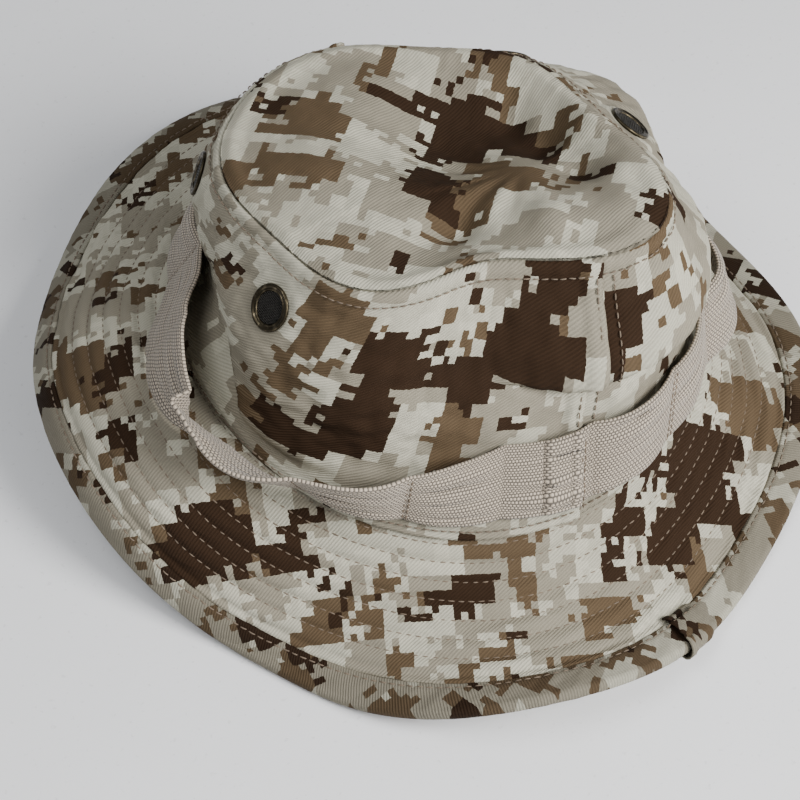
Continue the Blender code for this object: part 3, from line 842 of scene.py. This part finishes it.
def vent_frame(degrees):
    """Place and axes of a vent on the slumped crown: centre, level, upright and normal."""
    spread = np.array([-0.05, 0.0, 0.05])
    rows = crown_surface(*np.meshgrid(math.radians(degrees) + spread, VENT_UP + spread))
    normal = sheet_normals(rows, False)[1, 1]
    level = unit(np.cross((0.0, 0.0, 1.0), normal))
    return rows[1, 1] + normal * 0.0002, level, np.cross(normal, level), normal


def press_flat(points, offset_normals):
    """Presses the cloth under each vent's rim onto the vent's plane, with a soft edge."""
    for degrees in VENT_ANGLES.values():
        centre, _, _, normal = vent_frame(degrees)
        away = points - centre
        height = away @ normal
        level = np.linalg.norm(away - height[..., None] * normal, axis=-1)
        near = np.abs(height) < VENT_NEAR
        held = (1 - step(level, *VENT_PRESSED)) * near
        # The pinched cloth swells a little just outside the rim
        swell = 0.00035 * bell(level - 0.0108, 0.0018) * near
        points = points - normal * (held * height)[..., None] + offset_normals * swell[..., None]
    return points


def vent_holes(points):
    """Which quads of a panel lie under a vent's opening."""
    middle = 0.25 * (points[:-1, :-1] + points[1:, :-1] + points[:-1, 1:] + points[1:, 1:])
    hole = np.zeros(middle.shape[:2], dtype=bool)
    for degrees in VENT_ANGLES.values():
        centre, _, _, _ = vent_frame(degrees)
        hole |= np.linalg.norm(middle - centre, axis=-1) < VENT_HOLE
    return hole


def hole_walls(hole, row_count, column_count):
    """Quads that join both sides of a sheet round its holes."""
    at = corner_numbers(row_count, column_count)
    walls = []
    kept = ~hole
    for first, second in ((True, False), (False, True)):
        for rows_apart, columns_apart in ((0, 1), (1, 0)):
            one = kept[:hole.shape[0] - rows_apart, :hole.shape[1] - columns_apart]
            other = kept[rows_apart:, columns_apart:]
            r, c = np.nonzero((one == first) & (other == second))
            if columns_apart:
                start, end = (r + 1, c + 1), (r, c + 1)
            else:
                start, end = (r + 1, c), (r + 1, c + 1)
            if not first:
                start, end = end, start
            walls.append(np.stack([at(1, *start), at(1, *end), at(0, *end), at(0, *start)], -1))
    return np.concatenate(walls)


def panel_path(angles, ups, lift):
    """A line on the side cloth's outer face, with its normals."""
    spread = 0.004
    upwards = crown_surface(angles, ups + spread) - crown_surface(angles, ups - spread)
    round_step = crown_surface(angles + spread, ups) - crown_surface(angles - spread, ups)
    normal = unit(np.cross(round_step, upwards))
    here = crown_surface(angles, ups) + normal * (CLOTH + side_relief(angles, ups) + lift)[..., None]
    return here, normal


def build_crown_sides():
    """Two side panels; the left one's edges are felled over the right one's."""
    lap = FELL_EDGE / HEAD_HALF_LENGTH
    panels = (("crown_side_right", np.linspace(BACK, FRONT, 264), 0.0, 0.0207,
               camouflage("side_right", 3.0, 0.06, SIDE_RIGHT_BLOTS)),
              ("crown_side_left", np.linspace(FRONT - lap, FRONT + math.pi + lap, 276), FELL_RISE, 0.0222,
               camouflage("side_left", 0.0, 0.10, SIDE_BLOTS)))
    for name, span, lifted, area, finish in panels:
        angles, ups = np.meshgrid(span, np.linspace(0.0, 1.0, SIDE_ROWS))
        rows = crown_surface(angles, ups)
        normals = sheet_normals(rows, False)
        # The left panel's edges stand over the right one's, and both turn in at the top
        beyond = np.minimum(angles - FRONT, FRONT + math.pi - angles) * HEAD_HALF_LENGTH
        raised = lifted * (1 - step(beyond, 0.0010, 0.0045)) - TUCKED * (beyond < -FELL_EDGE + 0.0004)
        raised = raised - 0.0010 * step(ups, 0.988, 1.0)
        rows = rows + normals * (side_relief(angles, ups) + raised)[..., None]
        rows = press_flat(rows, normals)
        hole = vent_holes(rows)
        normals = sheet_normals(rows, False)
        points = np.concatenate([rows.reshape(-1, 3), (rows + normals * CLOTH).reshape(-1, 3)])
        quads = sheet_quads(*angles.shape, False)
        keep = np.ones(len(quads), dtype=bool)
        keep[:2 * hole.size] = np.tile(~hole.ravel(), 2)
        quads = np.concatenate([quads[keep], hole_walls(hole, *angles.shape)])
        flat = np.stack([angles * SIDE_RADIUS, ups * CROWN_CLOTH_HEIGHT], axis=-1).reshape(-1, 2)
        piece = new_piece(name, points, quads, finish, "camouflage_twill", np.concatenate([flat] * 2))


def build_crown_stitches():
    """Topstitching: below the tip seam, above the brim seam, and down both felled seams."""
    round_angles = np.linspace(0, FULL_TURN, 720, endpoint=False)
    paths = []
    for up in (1 - TIP_STITCH / CROWN_CLOTH_HEIGHT, SEAM_STITCH / CROWN_CLOTH_HEIGHT):
        raised = FELL_RISE * (np.cos(round_angles) < 0)
        paths.append((*panel_path(round_angles, up + 0.0 * round_angles, raised), True))
    ups = np.linspace(0.055, 0.935, 120)
    for seam, side in FELLED_SEAMS:
        for row in FELL_ROWS:
            angles = seam + side * row / HEAD_HALF_LENGTH + 0.0 * ups
            lift = FELL_RISE * (row < FELL_EDGE)
            paths.append((*panel_path(angles, ups, lift), False))
    add_stitches("crown_stitches", paths, length=0.0022, pitch=0.0029)


def build_tip():
    """The oval tip; its edge turns down inside the side panels."""
    angles = np.arange(TIP_COLUMNS) * FULL_TURN / TIP_COLUMNS
    spun, up = np.meshgrid(angles, TIP_TURNED)
    walls = crown_surface(spun, up)
    walls = walls + sheet_normals(walls, True) * (side_relief(spun, up) - TUCKED)[..., None]
    shares = 1 - (1 - np.linspace(0.012, 1.0, TIP_ROWS)) ** 1.15
    spun, share = np.meshgrid(angles, shares[::-1])
    share[0] = TIP_TUCK
    rows = np.concatenate([walls, tip_surface(spun, share)])
    normals = sheet_normals(rows, True)
    centre = tip_surface(np.zeros(1), np.zeros(1))[0]
    points = np.concatenate([(rows - normals * CLOTH).reshape(-1, 3), rows.reshape(-1, 3),
                             [centre - (0, 0, CLOTH)], [centre]])
    # Each side closes on its middle point; a quad spans two columns there
    size = len(rows) * TIP_COLUMNS
    column = np.arange(0, TIP_COLUMNS, 2)
    ring = [(column + ahead) % TIP_COLUMNS for ahead in (0, 1, 2)]
    upper = [2 * size - TIP_COLUMNS + corner for corner in ring] + [0 * column + 2 * size + 1]
    under = [size - TIP_COLUMNS + corner for corner in ring[::-1]] + [0 * column + 2 * size]
    quads = np.concatenate([sheet_quads(len(rows), TIP_COLUMNS, True)[:-TIP_COLUMNS],
                            np.stack(upper, axis=-1), np.stack(under, axis=-1)])
    flat = points[:, :2] - np.array(SETTLE_MOVE[:2])
    finish = camouflage("tip", 7.0, 0.72, TIP_BLOTS, twill_lean=1.90, darker=0.93)
    piece = new_piece("crown_tip", points, quads, finish, "camouflage_twill", flat)


# ------------------------------------------------------------ brim

BRIM_COLUMNS = 640
# Rows of the seam allowance inside the crown: how far up its side, and how far in on the flat cloth
ALLOWANCE_UPS = np.array([[0.004], [0.035], [0.085]])
ALLOWANCE_DISTANCES = np.array([[-0.001], [-0.004], [-0.008]])


def brim_stack(distances, relief_share, drop):
    """Brim rows from the edge inwards, moved by a share of the relief and dropped by a ply."""
    spun, distance = np.meshgrid(np.arange(BRIM_COLUMNS) * FULL_TURN / BRIM_COLUMNS, distances)
    base = brim_point(spun, distance)
    normals = sheet_normals(base, True)
    return base + normals * (brim_relief(spun, distance) * relief_share - drop)[..., None], spun, distance


def brim_flat(spun, distance):
    """Flat places of the brim cloth: a ring whose inner edge is the crown seam."""
    return (BRIM_RADIUS + distance)[..., None] * np.stack([np.cos(spun), np.sin(spun)], axis=-1)


def build_brim():
    """Three plies: quilted cloth above and below, and an interlining between them."""
    distances = np.linspace(BRIM_WIDTH - 0.0008, 0.0012, 74)
    finish = camouflage("brim", 13.0, 0.35, BRIM_BLOTS, twill_lean=1.90)
    for name, share, drop, inside in (("brim_upper_ply", 1.0, 0.0, CLOTH),
                                      ("brim_lower_ply", LOWER_PLY_PUFF, LOWER_PLY_DROP, 2 * CLOTH)):
        rows, spun, distance = brim_stack(distances, share, drop)
        # The ply turns up inside the crown at its seam
        turned = spun[:3]
        allowance = crown_surface(turned, ALLOWANCE_UPS + 0.0 * turned) - head_seam(turned)[1] * inside
        rows = np.concatenate([rows, allowance])
        flat = np.concatenate([brim_flat(spun, distance),
                               brim_flat(turned, ALLOWANCE_DISTANCES + 0.0 * turned)])
        piece = new_sheet(name, rows, -0.0005, 0.0, flat, True, finish, "camouflage_twill")
    core = np.linspace(BRIM_WIDTH - 0.0055, 0.009, 40)
    rows, spun, distance = brim_stack(core, 0.0, 0.0009)
    piece = new_sheet("brim_interlining", rows, -0.0004, 0.0, brim_flat(spun, distance), True,
                      plain_cloth("interlining", (0.36, 0.32, 0.26)), "interlining")


def brim_path(distance, share, drop, lift):
    """A stitch row's line on a brim face, with normals pointing away from the cloth."""
    close = distance + np.array([0.0006, 0.0, -0.0006])
    rows, _, _ = brim_stack(close, share, drop)
    normals = sheet_normals(rows, True)[1]
    return rows[1] + normals * lift, normals * math.copysign(1, lift), True


def build_brim_stitches():
    """Seven rows of quilting on the top face and six on the underside; the binding's row is sewn with the
    binding.
    """
    rows = FIRST_STITCH_ROW + STITCH_ROW_PITCH * np.arange(STITCH_ROWS)
    above = [brim_path(row, 1.0, 0.0, 0.00008) for row in rows]
    below = [brim_path(row, LOWER_PLY_PUFF, LOWER_PLY_DROP, -0.00058) for row in rows[1:]]
    add_stitches("brim_stitches_above", above)
    add_stitches("brim_stitches_below", below)


# The lap's start and length, the share of the strip that goes round the fold, half the brim's
# thickness there, the brim's middle under its top face, and the stitches from the inner edge
BINDING_START = math.radians(277.4)
BINDING_LAP = 0.075
BINDING_FOLD = 0.12
BINDING_HALF = 0.00115 + 0.0004
BINDING_MIDDLE = 0.00105
BINDING_STITCH = 0.0016


def binding_section(spun, share):
    """The folded binding: from its edge under the brim, round the fold, to its edge on top."""
    flatness = np.abs(share)
    side = np.sign(share)
    # Share runs from -1 under the brim to 1 on top; the fold is its middle
    inwards = np.clip((flatness - BINDING_FOLD) / (1 - BINDING_FOLD), 0.0, 1.0)
    bend = np.clip(flatness / BINDING_FOLD, 0.0, 1.0) * 0.5 * math.pi
    distance = BRIM_WIDTH - 0.0004 - inwards * (BINDING_WIDTH - 0.0004) + 0.0013 * np.cos(bend)
    # On top the strip lies on the puffed cloth, held by one row of stitches near its inner edge
    held = bell(inwards * BINDING_WIDTH - (BINDING_WIDTH - BINDING_STITCH), 0.0007)
    drag = ripple(spun * BINDING_RADIUS + distance, 0.8 * distance, 51, 3, 0.010)
    rise = np.where(share > 0, 0.00045 + 0.00045 * np.sin(math.pi * inwards) - 0.00055 * held, 0.0)
    rise = rise + side * 0.00032 * drag * step(flatness, 0.0, 0.2)
    # The folded inner edge rounds over to the brim
    rise = rise - side * 0.00105 * step(flatness, 0.955, 1.0)
    return distance, side * BINDING_HALF * np.sin(bend) + rise


def binding_surface(spun, share):
    """Points of the binding's mid-cloth surface."""
    distance, height = binding_section(spun, share)
    on_brim = np.minimum(distance, BRIM_WIDTH)
    here = brim_point(spun, on_brim)
    outward = unit(here - brim_point(spun, on_brim - 0.001))
    normal = unit(np.cross(outward, brim_point(spun + 0.004, on_brim) - here))
    beyond = outward * (distance - on_brim)[..., None]
    return here + beyond + normal * (height - BINDING_MIDDLE)[..., None], normal


def lap_lift(spun):
    """How far the strip's folded first end stands off the other end, which it covers."""
    along = spun - BINDING_START
    over_end = 0.0013 * (1 - step(along, BINDING_LAP, BINDING_LAP + 0.030))
    folded = 0.0009 * (1 - step(along, 0.012, 0.030))
    return over_end + folded


def build_binding():
    """One bias strip folded over the edge; its folded first end laps proud over its other end."""
    spans = np.linspace(BINDING_START, BINDING_START + FULL_TURN + BINDING_LAP, 800)
    shares = np.linspace(-1.0, 1.0, 41)
    shares = np.sign(shares) * np.abs(shares) ** 1.25
    spun, share = np.meshgrid(spans, shares)
    rows, normal = binding_surface(spun, share)
    outward = sheet_normals(rows, False)
    rows = rows + outward * lap_lift(spun)[..., None]
    rows[..., 2] = np.maximum(rows[..., 2], 0.0)
    flat = np.stack([spun * BINDING_RADIUS, share * (BINDING_WIDTH + 0.0008)], axis=-1)
    finish = camouflage("binding", 19.0, 0.78, {}, twill_lean=0.2, darker=0.74,
                        bias=(-0.08, -0.10, -0.06))
    piece = new_sheet("brim_binding", rows, 0.0, 0.0005, flat, False, finish, "binding_twill")
    inner = 1 - BINDING_STITCH / BINDING_WIDTH
    line = np.linspace(BINDING_START, BINDING_START + FULL_TURN, 900, endpoint=False)
    paths = []
    for side in (1, -1):
        points, normal = binding_surface(line, side * inner + 0.0 * line)
        raised = side * (0.0006 + lap_lift(line))
        paths.append((points + normal * raised[..., None], normal * side, True))
    add_stitches("binding_stitches", paths, pitch=0.0032)


# ------------------------------------------------------------ webbing, sweatband and labels

TACKS = 18
FIRST_TACK = BACK - 0.280
WEBBING_START = BACK - 0.06
WEBBING_LAP = 0.065
SWEATBAND_STITCH = 0.0255
# Name, place round the head and width of each label, and how far inside the crown they lie
LABELS = (("size_label", BACK + 0.16, 0.020), ("care_label", BACK - 0.22, 0.030))
LABEL_DEPTH = 0.0062
# Loops that stand open: direction in degrees, share of the loop depth, and half width
WEBBING_OPEN = ((181, 1.25, 15), (327, 0.75, 11))
# Where the open left loop's upper edge leans out: direction, lean in radians, and half width
WEBBING_LEANS = ((204, 0.80, 17), (230, 0.40, 15))


def webbing_rows(spun, share):
    """Inner face of the webbing: small humps between tacks, and two loops standing open."""
    _, outward = head_seam(spun)
    low_up = (WEBBING_ABOVE_SEAM + 0.0015) / CROWN_CLOTH_HEIGHT
    high_up = low_up + 0.0235 / CROWN_CLOTH_HEIGHT
    low = crown_surface(spun, low_up + 0.0 * spun)
    across = unit(crown_surface(spun, high_up + 0.0 * spun) - low)
    # The tape stays flat across its width, so it clears the fullest cloth behind it
    clear = 0.0 * spun
    for part in (0.25, 0.5, 0.75, 1.0):
        behind = crown_surface(spun, low_up + part * (high_up - low_up) + 0.0 * spun)
        gap = np.sum((behind - low - across * (part * WEBBING_WIDTH)) * outward, axis=-1)
        clear = np.maximum(clear, gap)
    lean = sum(most * bell(degrees_from(spun, degrees), width) for degrees, most, width in WEBBING_LEANS)
    leaned = across * np.cos(lean)[..., None] + outward * np.sin(lean)[..., None]
    point = low + leaned * (share * WEBBING_WIDTH)[..., None]
    size = bpy.context.scene.hat_sizes.loop_depth
    phase = 0.5 * TACKS * (spun - FIRST_TACK)
    draw = ripple(spun * BASE_RADIUS, 0.3 * share, 61, 2, 0.060)
    humps = (0.0021 + 0.0010 * draw) * np.abs(np.sin(phase)) ** 0.9
    opened = 0.0 * spun
    for degrees, share_of_size, width in WEBBING_OPEN:
        opened = opened + share_of_size * size * np.exp(-np.abs(degrees_from(spun, degrees) / width) ** 3)
    point = point + outward * (0.0016 + clear + humps + opened)[..., None]
    point[..., 2] += 0.0010 * ripple(spun * BASE_RADIUS, 0.0 * spun, 62, 2, 0.05)
    return point


def build_webbing():
    """One length of webbing round the crown; its turned-under end laps over its start."""
    start, end = WEBBING_START, WEBBING_START + FULL_TURN
    spans = np.linspace(start - 0.05, end + WEBBING_LAP, 860)
    spun, share = np.meshgrid(spans, np.linspace(0.0, 1.0, 30))
    rows = webbing_rows(spun, share)
    # The end climbs over the start, and its turned-under tip stands higher again
    lifted = 0.0016 * step(spun, end - 0.07, end - 0.05)
    lifted = lifted + 0.0009 * step(spun, end + WEBBING_LAP - 0.035, end + WEBBING_LAP - 0.020)
    # The tape's edges are rounded and a little thinner than its middle
    edge = np.minimum(share, 1 - share) * WEBBING_WIDTH
    thick = 0.0009 + 0.0005 * step(edge, 0.0, 0.0012)
    rows = rows + sheet_normals(rows, False) * lifted[..., None]
    flat = np.stack([spun * WEBBING_RADIUS, share * WEBBING_WIDTH], axis=-1)
    piece = new_sheet("webbing_band", rows, 0.0, thick, flat, False, woven_tape("webbing"), "webbing")
    # Each tack is two rows of stitches across the tape; the join's stand on the lap
    tacks = [(angle, 0.0015) for angle in FIRST_TACK + np.arange(TACKS) * FULL_TURN / TACKS]
    tacks.append((start + WEBBING_LAP - 0.010, 0.0015 + 0.0025))
    share_line = np.linspace(0.04, 0.96, 40)
    paths = []
    for angle, raised in tacks:
        for offset in (0.0, 0.0013 / WEBBING_RADIUS):
            line = angle + offset + 0.0 * share_line
            outward = head_seam(line)[1]
            paths.append((webbing_rows(line, share_line) + outward * raised, outward, False))
    add_stitches("webbing_tacks", paths, length=0.0019, pitch=0.0023)


def build_sweatband():
    """The sweatband inside the crown, rolled at its upper edge, with its row of stitches."""
    angles = np.arange(420) * FULL_TURN / 420
    spun, height = np.meshgrid(angles, np.linspace(0.0015, 0.030, 34))
    rows = crown_surface(spun, height / CROWN_CLOTH_HEIGHT)
    roll = 0.0007 * bell(height - 0.0285, 0.0016) - 0.0004 * bell(height - SWEATBAND_STITCH, 0.0008)
    soft = 0.0006 * ripple(spun * BASE_RADIUS, height, 71, 3, 0.030)
    rows = rows - sheet_normals(rows, True) * (0.0042 + roll + np.abs(soft))[..., None]
    flat = np.stack([spun * BASE_RADIUS, height], axis=-1)
    finish = plain_cloth("sweatband_cotton", (0.37, 0.33, 0.265))
    piece = new_sheet("sweatband", rows, -0.0008, 0.0, flat, True, finish, "sweatband_cloth")
    outward = head_seam(angles)[1]
    points = crown_surface(angles, SWEATBAND_STITCH / CROWN_CLOTH_HEIGHT) - outward * 0.0049
    add_stitches("sweatband_stitches", [(points, -outward, True)], length=0.0022, pitch=0.0030)


def build_labels():
    """Two blank labels sewn to the sweatband beside the centre back."""
    paper = plain_cloth("label_tape", (0.62, 0.60, 0.55), 0.0004)
    for name, middle, width in LABELS:
        half = 0.5 * width / HEAD_HALF_LENGTH
        spun, height = np.meshgrid(middle + np.linspace(-half, half, 40), np.linspace(0.008, 0.024, 32))
        rows = crown_surface(spun, height / CROWN_CLOTH_HEIGHT) - head_seam(spun)[1] * LABEL_DEPTH
        flat = np.stack([spun * BASE_RADIUS, height], axis=-1)
        label = new_sheet(name, rows, -0.0003, 0.0, flat, False, paper, "label_tape")


# ------------------------------------------------------------ vents

TURNED_STEPS = 72
SEAT = 0.0009
# Radius and height of each corner, round the closed section
RIM = ((0.0054, -0.0020), (0.0060, -0.0020), (0.0060, SEAT), (0.0073, SEAT - 0.0001),
       (0.0077, SEAT + 0.0002), (0.0078, SEAT + 0.0006), (0.0076, SEAT + 0.0010),
       (0.0072, SEAT + 0.0012), (0.0067, SEAT + 0.0011), (0.0064, SEAT + 0.0008),
       (0.0061, SEAT + 0.0008), (0.0059, SEAT + 0.0010), (0.0056, SEAT + 0.0009),
       (0.0054, SEAT + 0.0005))
WASHER = ((0.0063, -0.0015), (0.0070, -0.0017), (0.0078, -0.0015), (0.0079, -0.0011),
          (0.0077, -0.0008), (0.0063, -0.0008))


def turned(profile, frame):
    """Points and quads of a closed (radius, height) profile turned about a vent's axis."""
    centre, level, upright, normal = frame
    spin = np.arange(TURNED_STEPS) * FULL_TURN / TURNED_STEPS
    spoke = np.cos(spin)[:, None] * level + np.sin(spin)[:, None] * upright
    radius, height = np.transpose(profile)[:, None, :, None]
    points = (centre + spoke[:, None] * radius + normal * height).reshape(-1, 3)
    count = len(profile)
    spot, point = np.meshgrid(np.arange(TURNED_STEPS), np.arange(count), indexing="ij")
    this, following = spot * count, (spot + 1) % TURNED_STEPS * count
    other = (point + 1) % count
    quads = np.stack([this + point, following + point, following + other, this + other], axis=-1)
    return points, quads.reshape(-1, 4)


def woven_wires(frame, radius=0.0053, pitch=0.00064, wire=0.00022, lift=0.0011, sides=5, length=33):
    """Two crossing sets of wires; each wire rises and dips as it passes its crossings."""
    centre, level, upright, normal = frame
    count = int(radius / pitch)
    offsets = np.arange(-count, count + 1) * pitch
    spin = np.arange(sides) * FULL_TURN / sides
    all_points, all_quads, start = [], [], 0
    for along, across, phase in ((level, upright, 0.0), (upright, level, math.pi)):
        reach = np.sqrt(radius ** 2 - offsets ** 2)
        place = np.linspace(-1, 1, length)[None] * reach[:, None]
        sign = np.where(np.arange(len(offsets)) % 2 == 0, 1.0, -1.0)[:, None]
        height = lift + sign * wire * np.cos(math.pi * place / pitch + phase)
        line = (centre + along * place[..., None] + across * offsets[:, None, None]
                + normal * height[..., None])
        spoke = np.cos(spin)[:, None] * across + np.sin(spin)[:, None] * normal
        points = line[:, :, None] + spoke * wire
        all_points.append(points.reshape(-1, 3))
        rod, spot, side = np.meshgrid(np.arange(len(offsets)), np.arange(length - 1), np.arange(sides),
                                      indexing="ij")
        after = (side + 1) % sides
        here = start + (rod * length + spot) * sides
        ahead = here + sides
        all_quads.append(np.stack([here + side, ahead + side, ahead + after, here + after],
                                  axis=-1).reshape(-1, 4))
        start += len(offsets) * length * sides
    return np.concatenate(all_points), np.concatenate(all_quads)


def build_vents():
    """Four vents: a stepped rim with a rolled edge, a woven screen, and a washer inside."""
    brass = brass_finish()
    wire = screen_finish()
    for name, degrees in VENT_ANGLES.items():
        frame = vent_frame(degrees)
        new_piece(f"vent_rim_{name}", *turned(RIM, frame), brass, "antique_brass")
        new_piece(f"vent_washer_{name}", *turned(WASHER, frame), brass, "antique_brass")
        new_piece(f"vent_screen_{name}", *woven_wires(frame), wire, "vent_screen")


# ------------------------------------------------------------ stage

CAMERA_TURN = math.radians(-26)
CAMERA_RISE = math.radians(53.3)
CAMERA_DISTANCE = 0.653
# What the camera looks at: to its right, ahead of it, and above the surface
CAMERA_TARGET = (-0.01363, -0.01738, 0.0087)
LENS = 80.3
FLOOR_HALF = 3.0
# Name, place, power, size and colour
LAMPS = (("key", (0.50, -0.76, 0.74), 20.0, 0.5, (1.0, 0.99, 0.975)),
         ("fill", (0.15, -0.80, 0.50), 1.9, 0.5, (1.0, 1.0, 1.0)),
         ("overhead", (-0.6, 0.1, 1.3), 9.0, 0.8, (0.98, 0.99, 1.0)))


def stage_piece(name, data):
    """An object of the stage, which doesn't ride on the hat."""
    thing = bpy.data.objects.new(name, data)
    bpy.context.scene.collection.objects.link(thing)
    return thing


def build_floor():
    """A plain pale floor with faint clouds and specks."""
    shader = Shader("pale_floor", 0.42)
    place = shader.place()
    cloud = shader.noise(place, 16.0, 4.0, 0.6)
    speck = shader.noise(place, 420.0, 2.0, 0.6).over(0.68, 0.05)
    colour = shader.mix(cloud, (0.86, 0.865, 0.88), (0.93, 0.935, 0.95))
    colour = shader.mix(speck * 0.25, colour, (0.50, 0.50, 0.50))
    mesh = bpy.data.meshes.new("floor")
    corners = [(x * FLOOR_HALF, y * FLOOR_HALF, 0.0) for x, y in ((-1, -1), (1, -1), (1, 1), (-1, 1))]
    mesh.from_pydata(corners, [], [(0, 1, 2, 3)])
    mesh.materials.append(shader.finish(colour))
    return stage_piece("floor", mesh)


def build_lamps():
    """Soft square lights aimed at the hat's middle."""
    lights = []
    for name, place, power, size, colour in LAMPS:
        lamp = bpy.data.lights.new(name, "AREA")
        lamp.energy = power
        lamp.size = size
        lamp.color = colour
        light = stage_piece(name, lamp)
        aim = Vector((0.0, 0.0, 0.05)) - Vector(place)
        light.matrix_world = Matrix.Translation(place) @ aim.to_track_quat("-Z", "Y").to_matrix().to_4x4()
        lights.append(light)
    return lights


def build_camera():
    """The camera, behind the hat and to its left, looking down."""
    right = Vector((math.cos(CAMERA_TURN), math.sin(CAMERA_TURN), 0.0))
    ahead = Vector((-math.sin(CAMERA_TURN), math.cos(CAMERA_TURN), 0.0))
    above = Vector((0.0, 0.0, 1.0))
    back = above * math.sin(CAMERA_RISE) - ahead * math.cos(CAMERA_RISE)
    axes = Matrix((right, back.cross(right), back)).transposed()
    target = right * CAMERA_TARGET[0] + ahead * CAMERA_TARGET[1] + above * CAMERA_TARGET[2]
    # The hat settled with a slight lean, so the camera leans and moves with it
    lean = Vector((SETTLE_LEAN[1], -SETTLE_LEAN[0], 0.0))
    tilt = Matrix.Rotation(lean.length, 3, lean.normalized())
    place = tilt @ (target + back * CAMERA_DISTANCE) + Vector(SETTLE_MOVE)
    data = bpy.data.cameras.new("camera")
    data.lens = LENS
    data.sensor_width = 36.0
    camera = stage_piece("camera", data)
    camera.matrix_world = Matrix.Translation(place) @ (tilt @ axes).to_4x4()
    bpy.context.scene.camera = camera
    return camera


def build_stage():
    """The floor, the lights, the camera and a dim blue-white surround."""
    world = bpy.data.worlds.new("studio")
    world.use_nodes = True
    surround = world.node_tree.nodes["Background"].inputs
    surround["Color"].default_value = (0.92, 0.95, 1.0, 1.0)
    surround["Strength"].default_value = 0.20
    bpy.context.scene.world = world
    build_floor()
    build_camera()
    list(build_lamps())


# ------------------------------------------------------------ operators

class HatOperator:
    """What the build operators share: each runs its builders in turn."""

    def execute(self, context):
        for build in self.builders:
            build()
        return {"FINISHED"}


class HAT_OT_crown(HatOperator, bpy.types.Operator):
    """Build the crown's side panels and their stitching"""
    bl_idname = "hat.crown"
    bl_label = "Crown sides"
    builders = (build_crown_sides, build_crown_stitches)


class HAT_OT_tip(HatOperator, bpy.types.Operator):
    """Build the crown's oval tip"""
    bl_idname = "hat.tip"
    bl_label = "Crown tip"
    builders = (build_tip,)


class HAT_OT_brim(HatOperator, bpy.types.Operator):
    """Build the brim's plies, quilting and binding"""
    bl_idname = "hat.brim"
    bl_label = "Brim"
    builders = (build_brim, build_brim_stitches, build_binding)


class HAT_OT_webbing(HatOperator, bpy.types.Operator):
    """Build the webbing band and its tacks"""
    bl_idname = "hat.webbing"
    bl_label = "Webbing"
    builders = (build_webbing,)


class HAT_OT_sweatband(HatOperator, bpy.types.Operator):
    """Build the sweatband and the blank labels"""
    bl_idname = "hat.sweatband"
    bl_label = "Sweatband"
    builders = (build_sweatband, build_labels)


class HAT_OT_vents(HatOperator, bpy.types.Operator):
    """Build the four screened vents"""
    bl_idname = "hat.vents"
    bl_label = "Vents"
    builders = (build_vents,)


class HAT_OT_stage(HatOperator, bpy.types.Operator):
    """Build the floor, the lights and the camera"""
    bl_idname = "hat.stage"
    bl_label = "Stage"
    builders = (build_stage,)


OPERATORS = (HAT_OT_crown, HAT_OT_tip, HAT_OT_brim, HAT_OT_webbing, HAT_OT_sweatband, HAT_OT_vents,
             HAT_OT_stage)


class HAT_PT_panel(bpy.types.Panel):
    """Sizes, colours and build buttons of the hat"""
    bl_idname = "HAT_PT_panel"
    bl_label = "Hat"
    bl_space_type = "VIEW_3D"
    bl_region_type = "UI"
    bl_category = "Hat"

    def draw(self, context):
        for group in (context.scene.hat_sizes, context.scene.hat_colours):
            for name in group.__annotations__:
                self.layout.prop(group, name)
        for operator in OPERATORS:
            self.layout.operator(operator.bl_idname)


CLASSES = (HatSizes, HatColours, *OPERATORS, HAT_PT_panel)


def register():
    for item in CLASSES:
        bpy.utils.register_class(item)
    bpy.types.Scene.hat_sizes = PointerProperty(type=HatSizes)
    bpy.types.Scene.hat_colours = PointerProperty(type=HatColours)


def unregister():
    del bpy.types.Scene.hat_colours
    del bpy.types.Scene.hat_sizes
    for item in reversed(CLASSES):
        bpy.utils.unregister_class(item)


def main():
    register()
    for build in (bpy.ops.hat.crown, bpy.ops.hat.tip, bpy.ops.hat.brim, bpy.ops.hat.webbing,
                  bpy.ops.hat.sweatband, bpy.ops.hat.vents, bpy.ops.hat.stage):
        build()


if __name__ == "__main__":
    main()
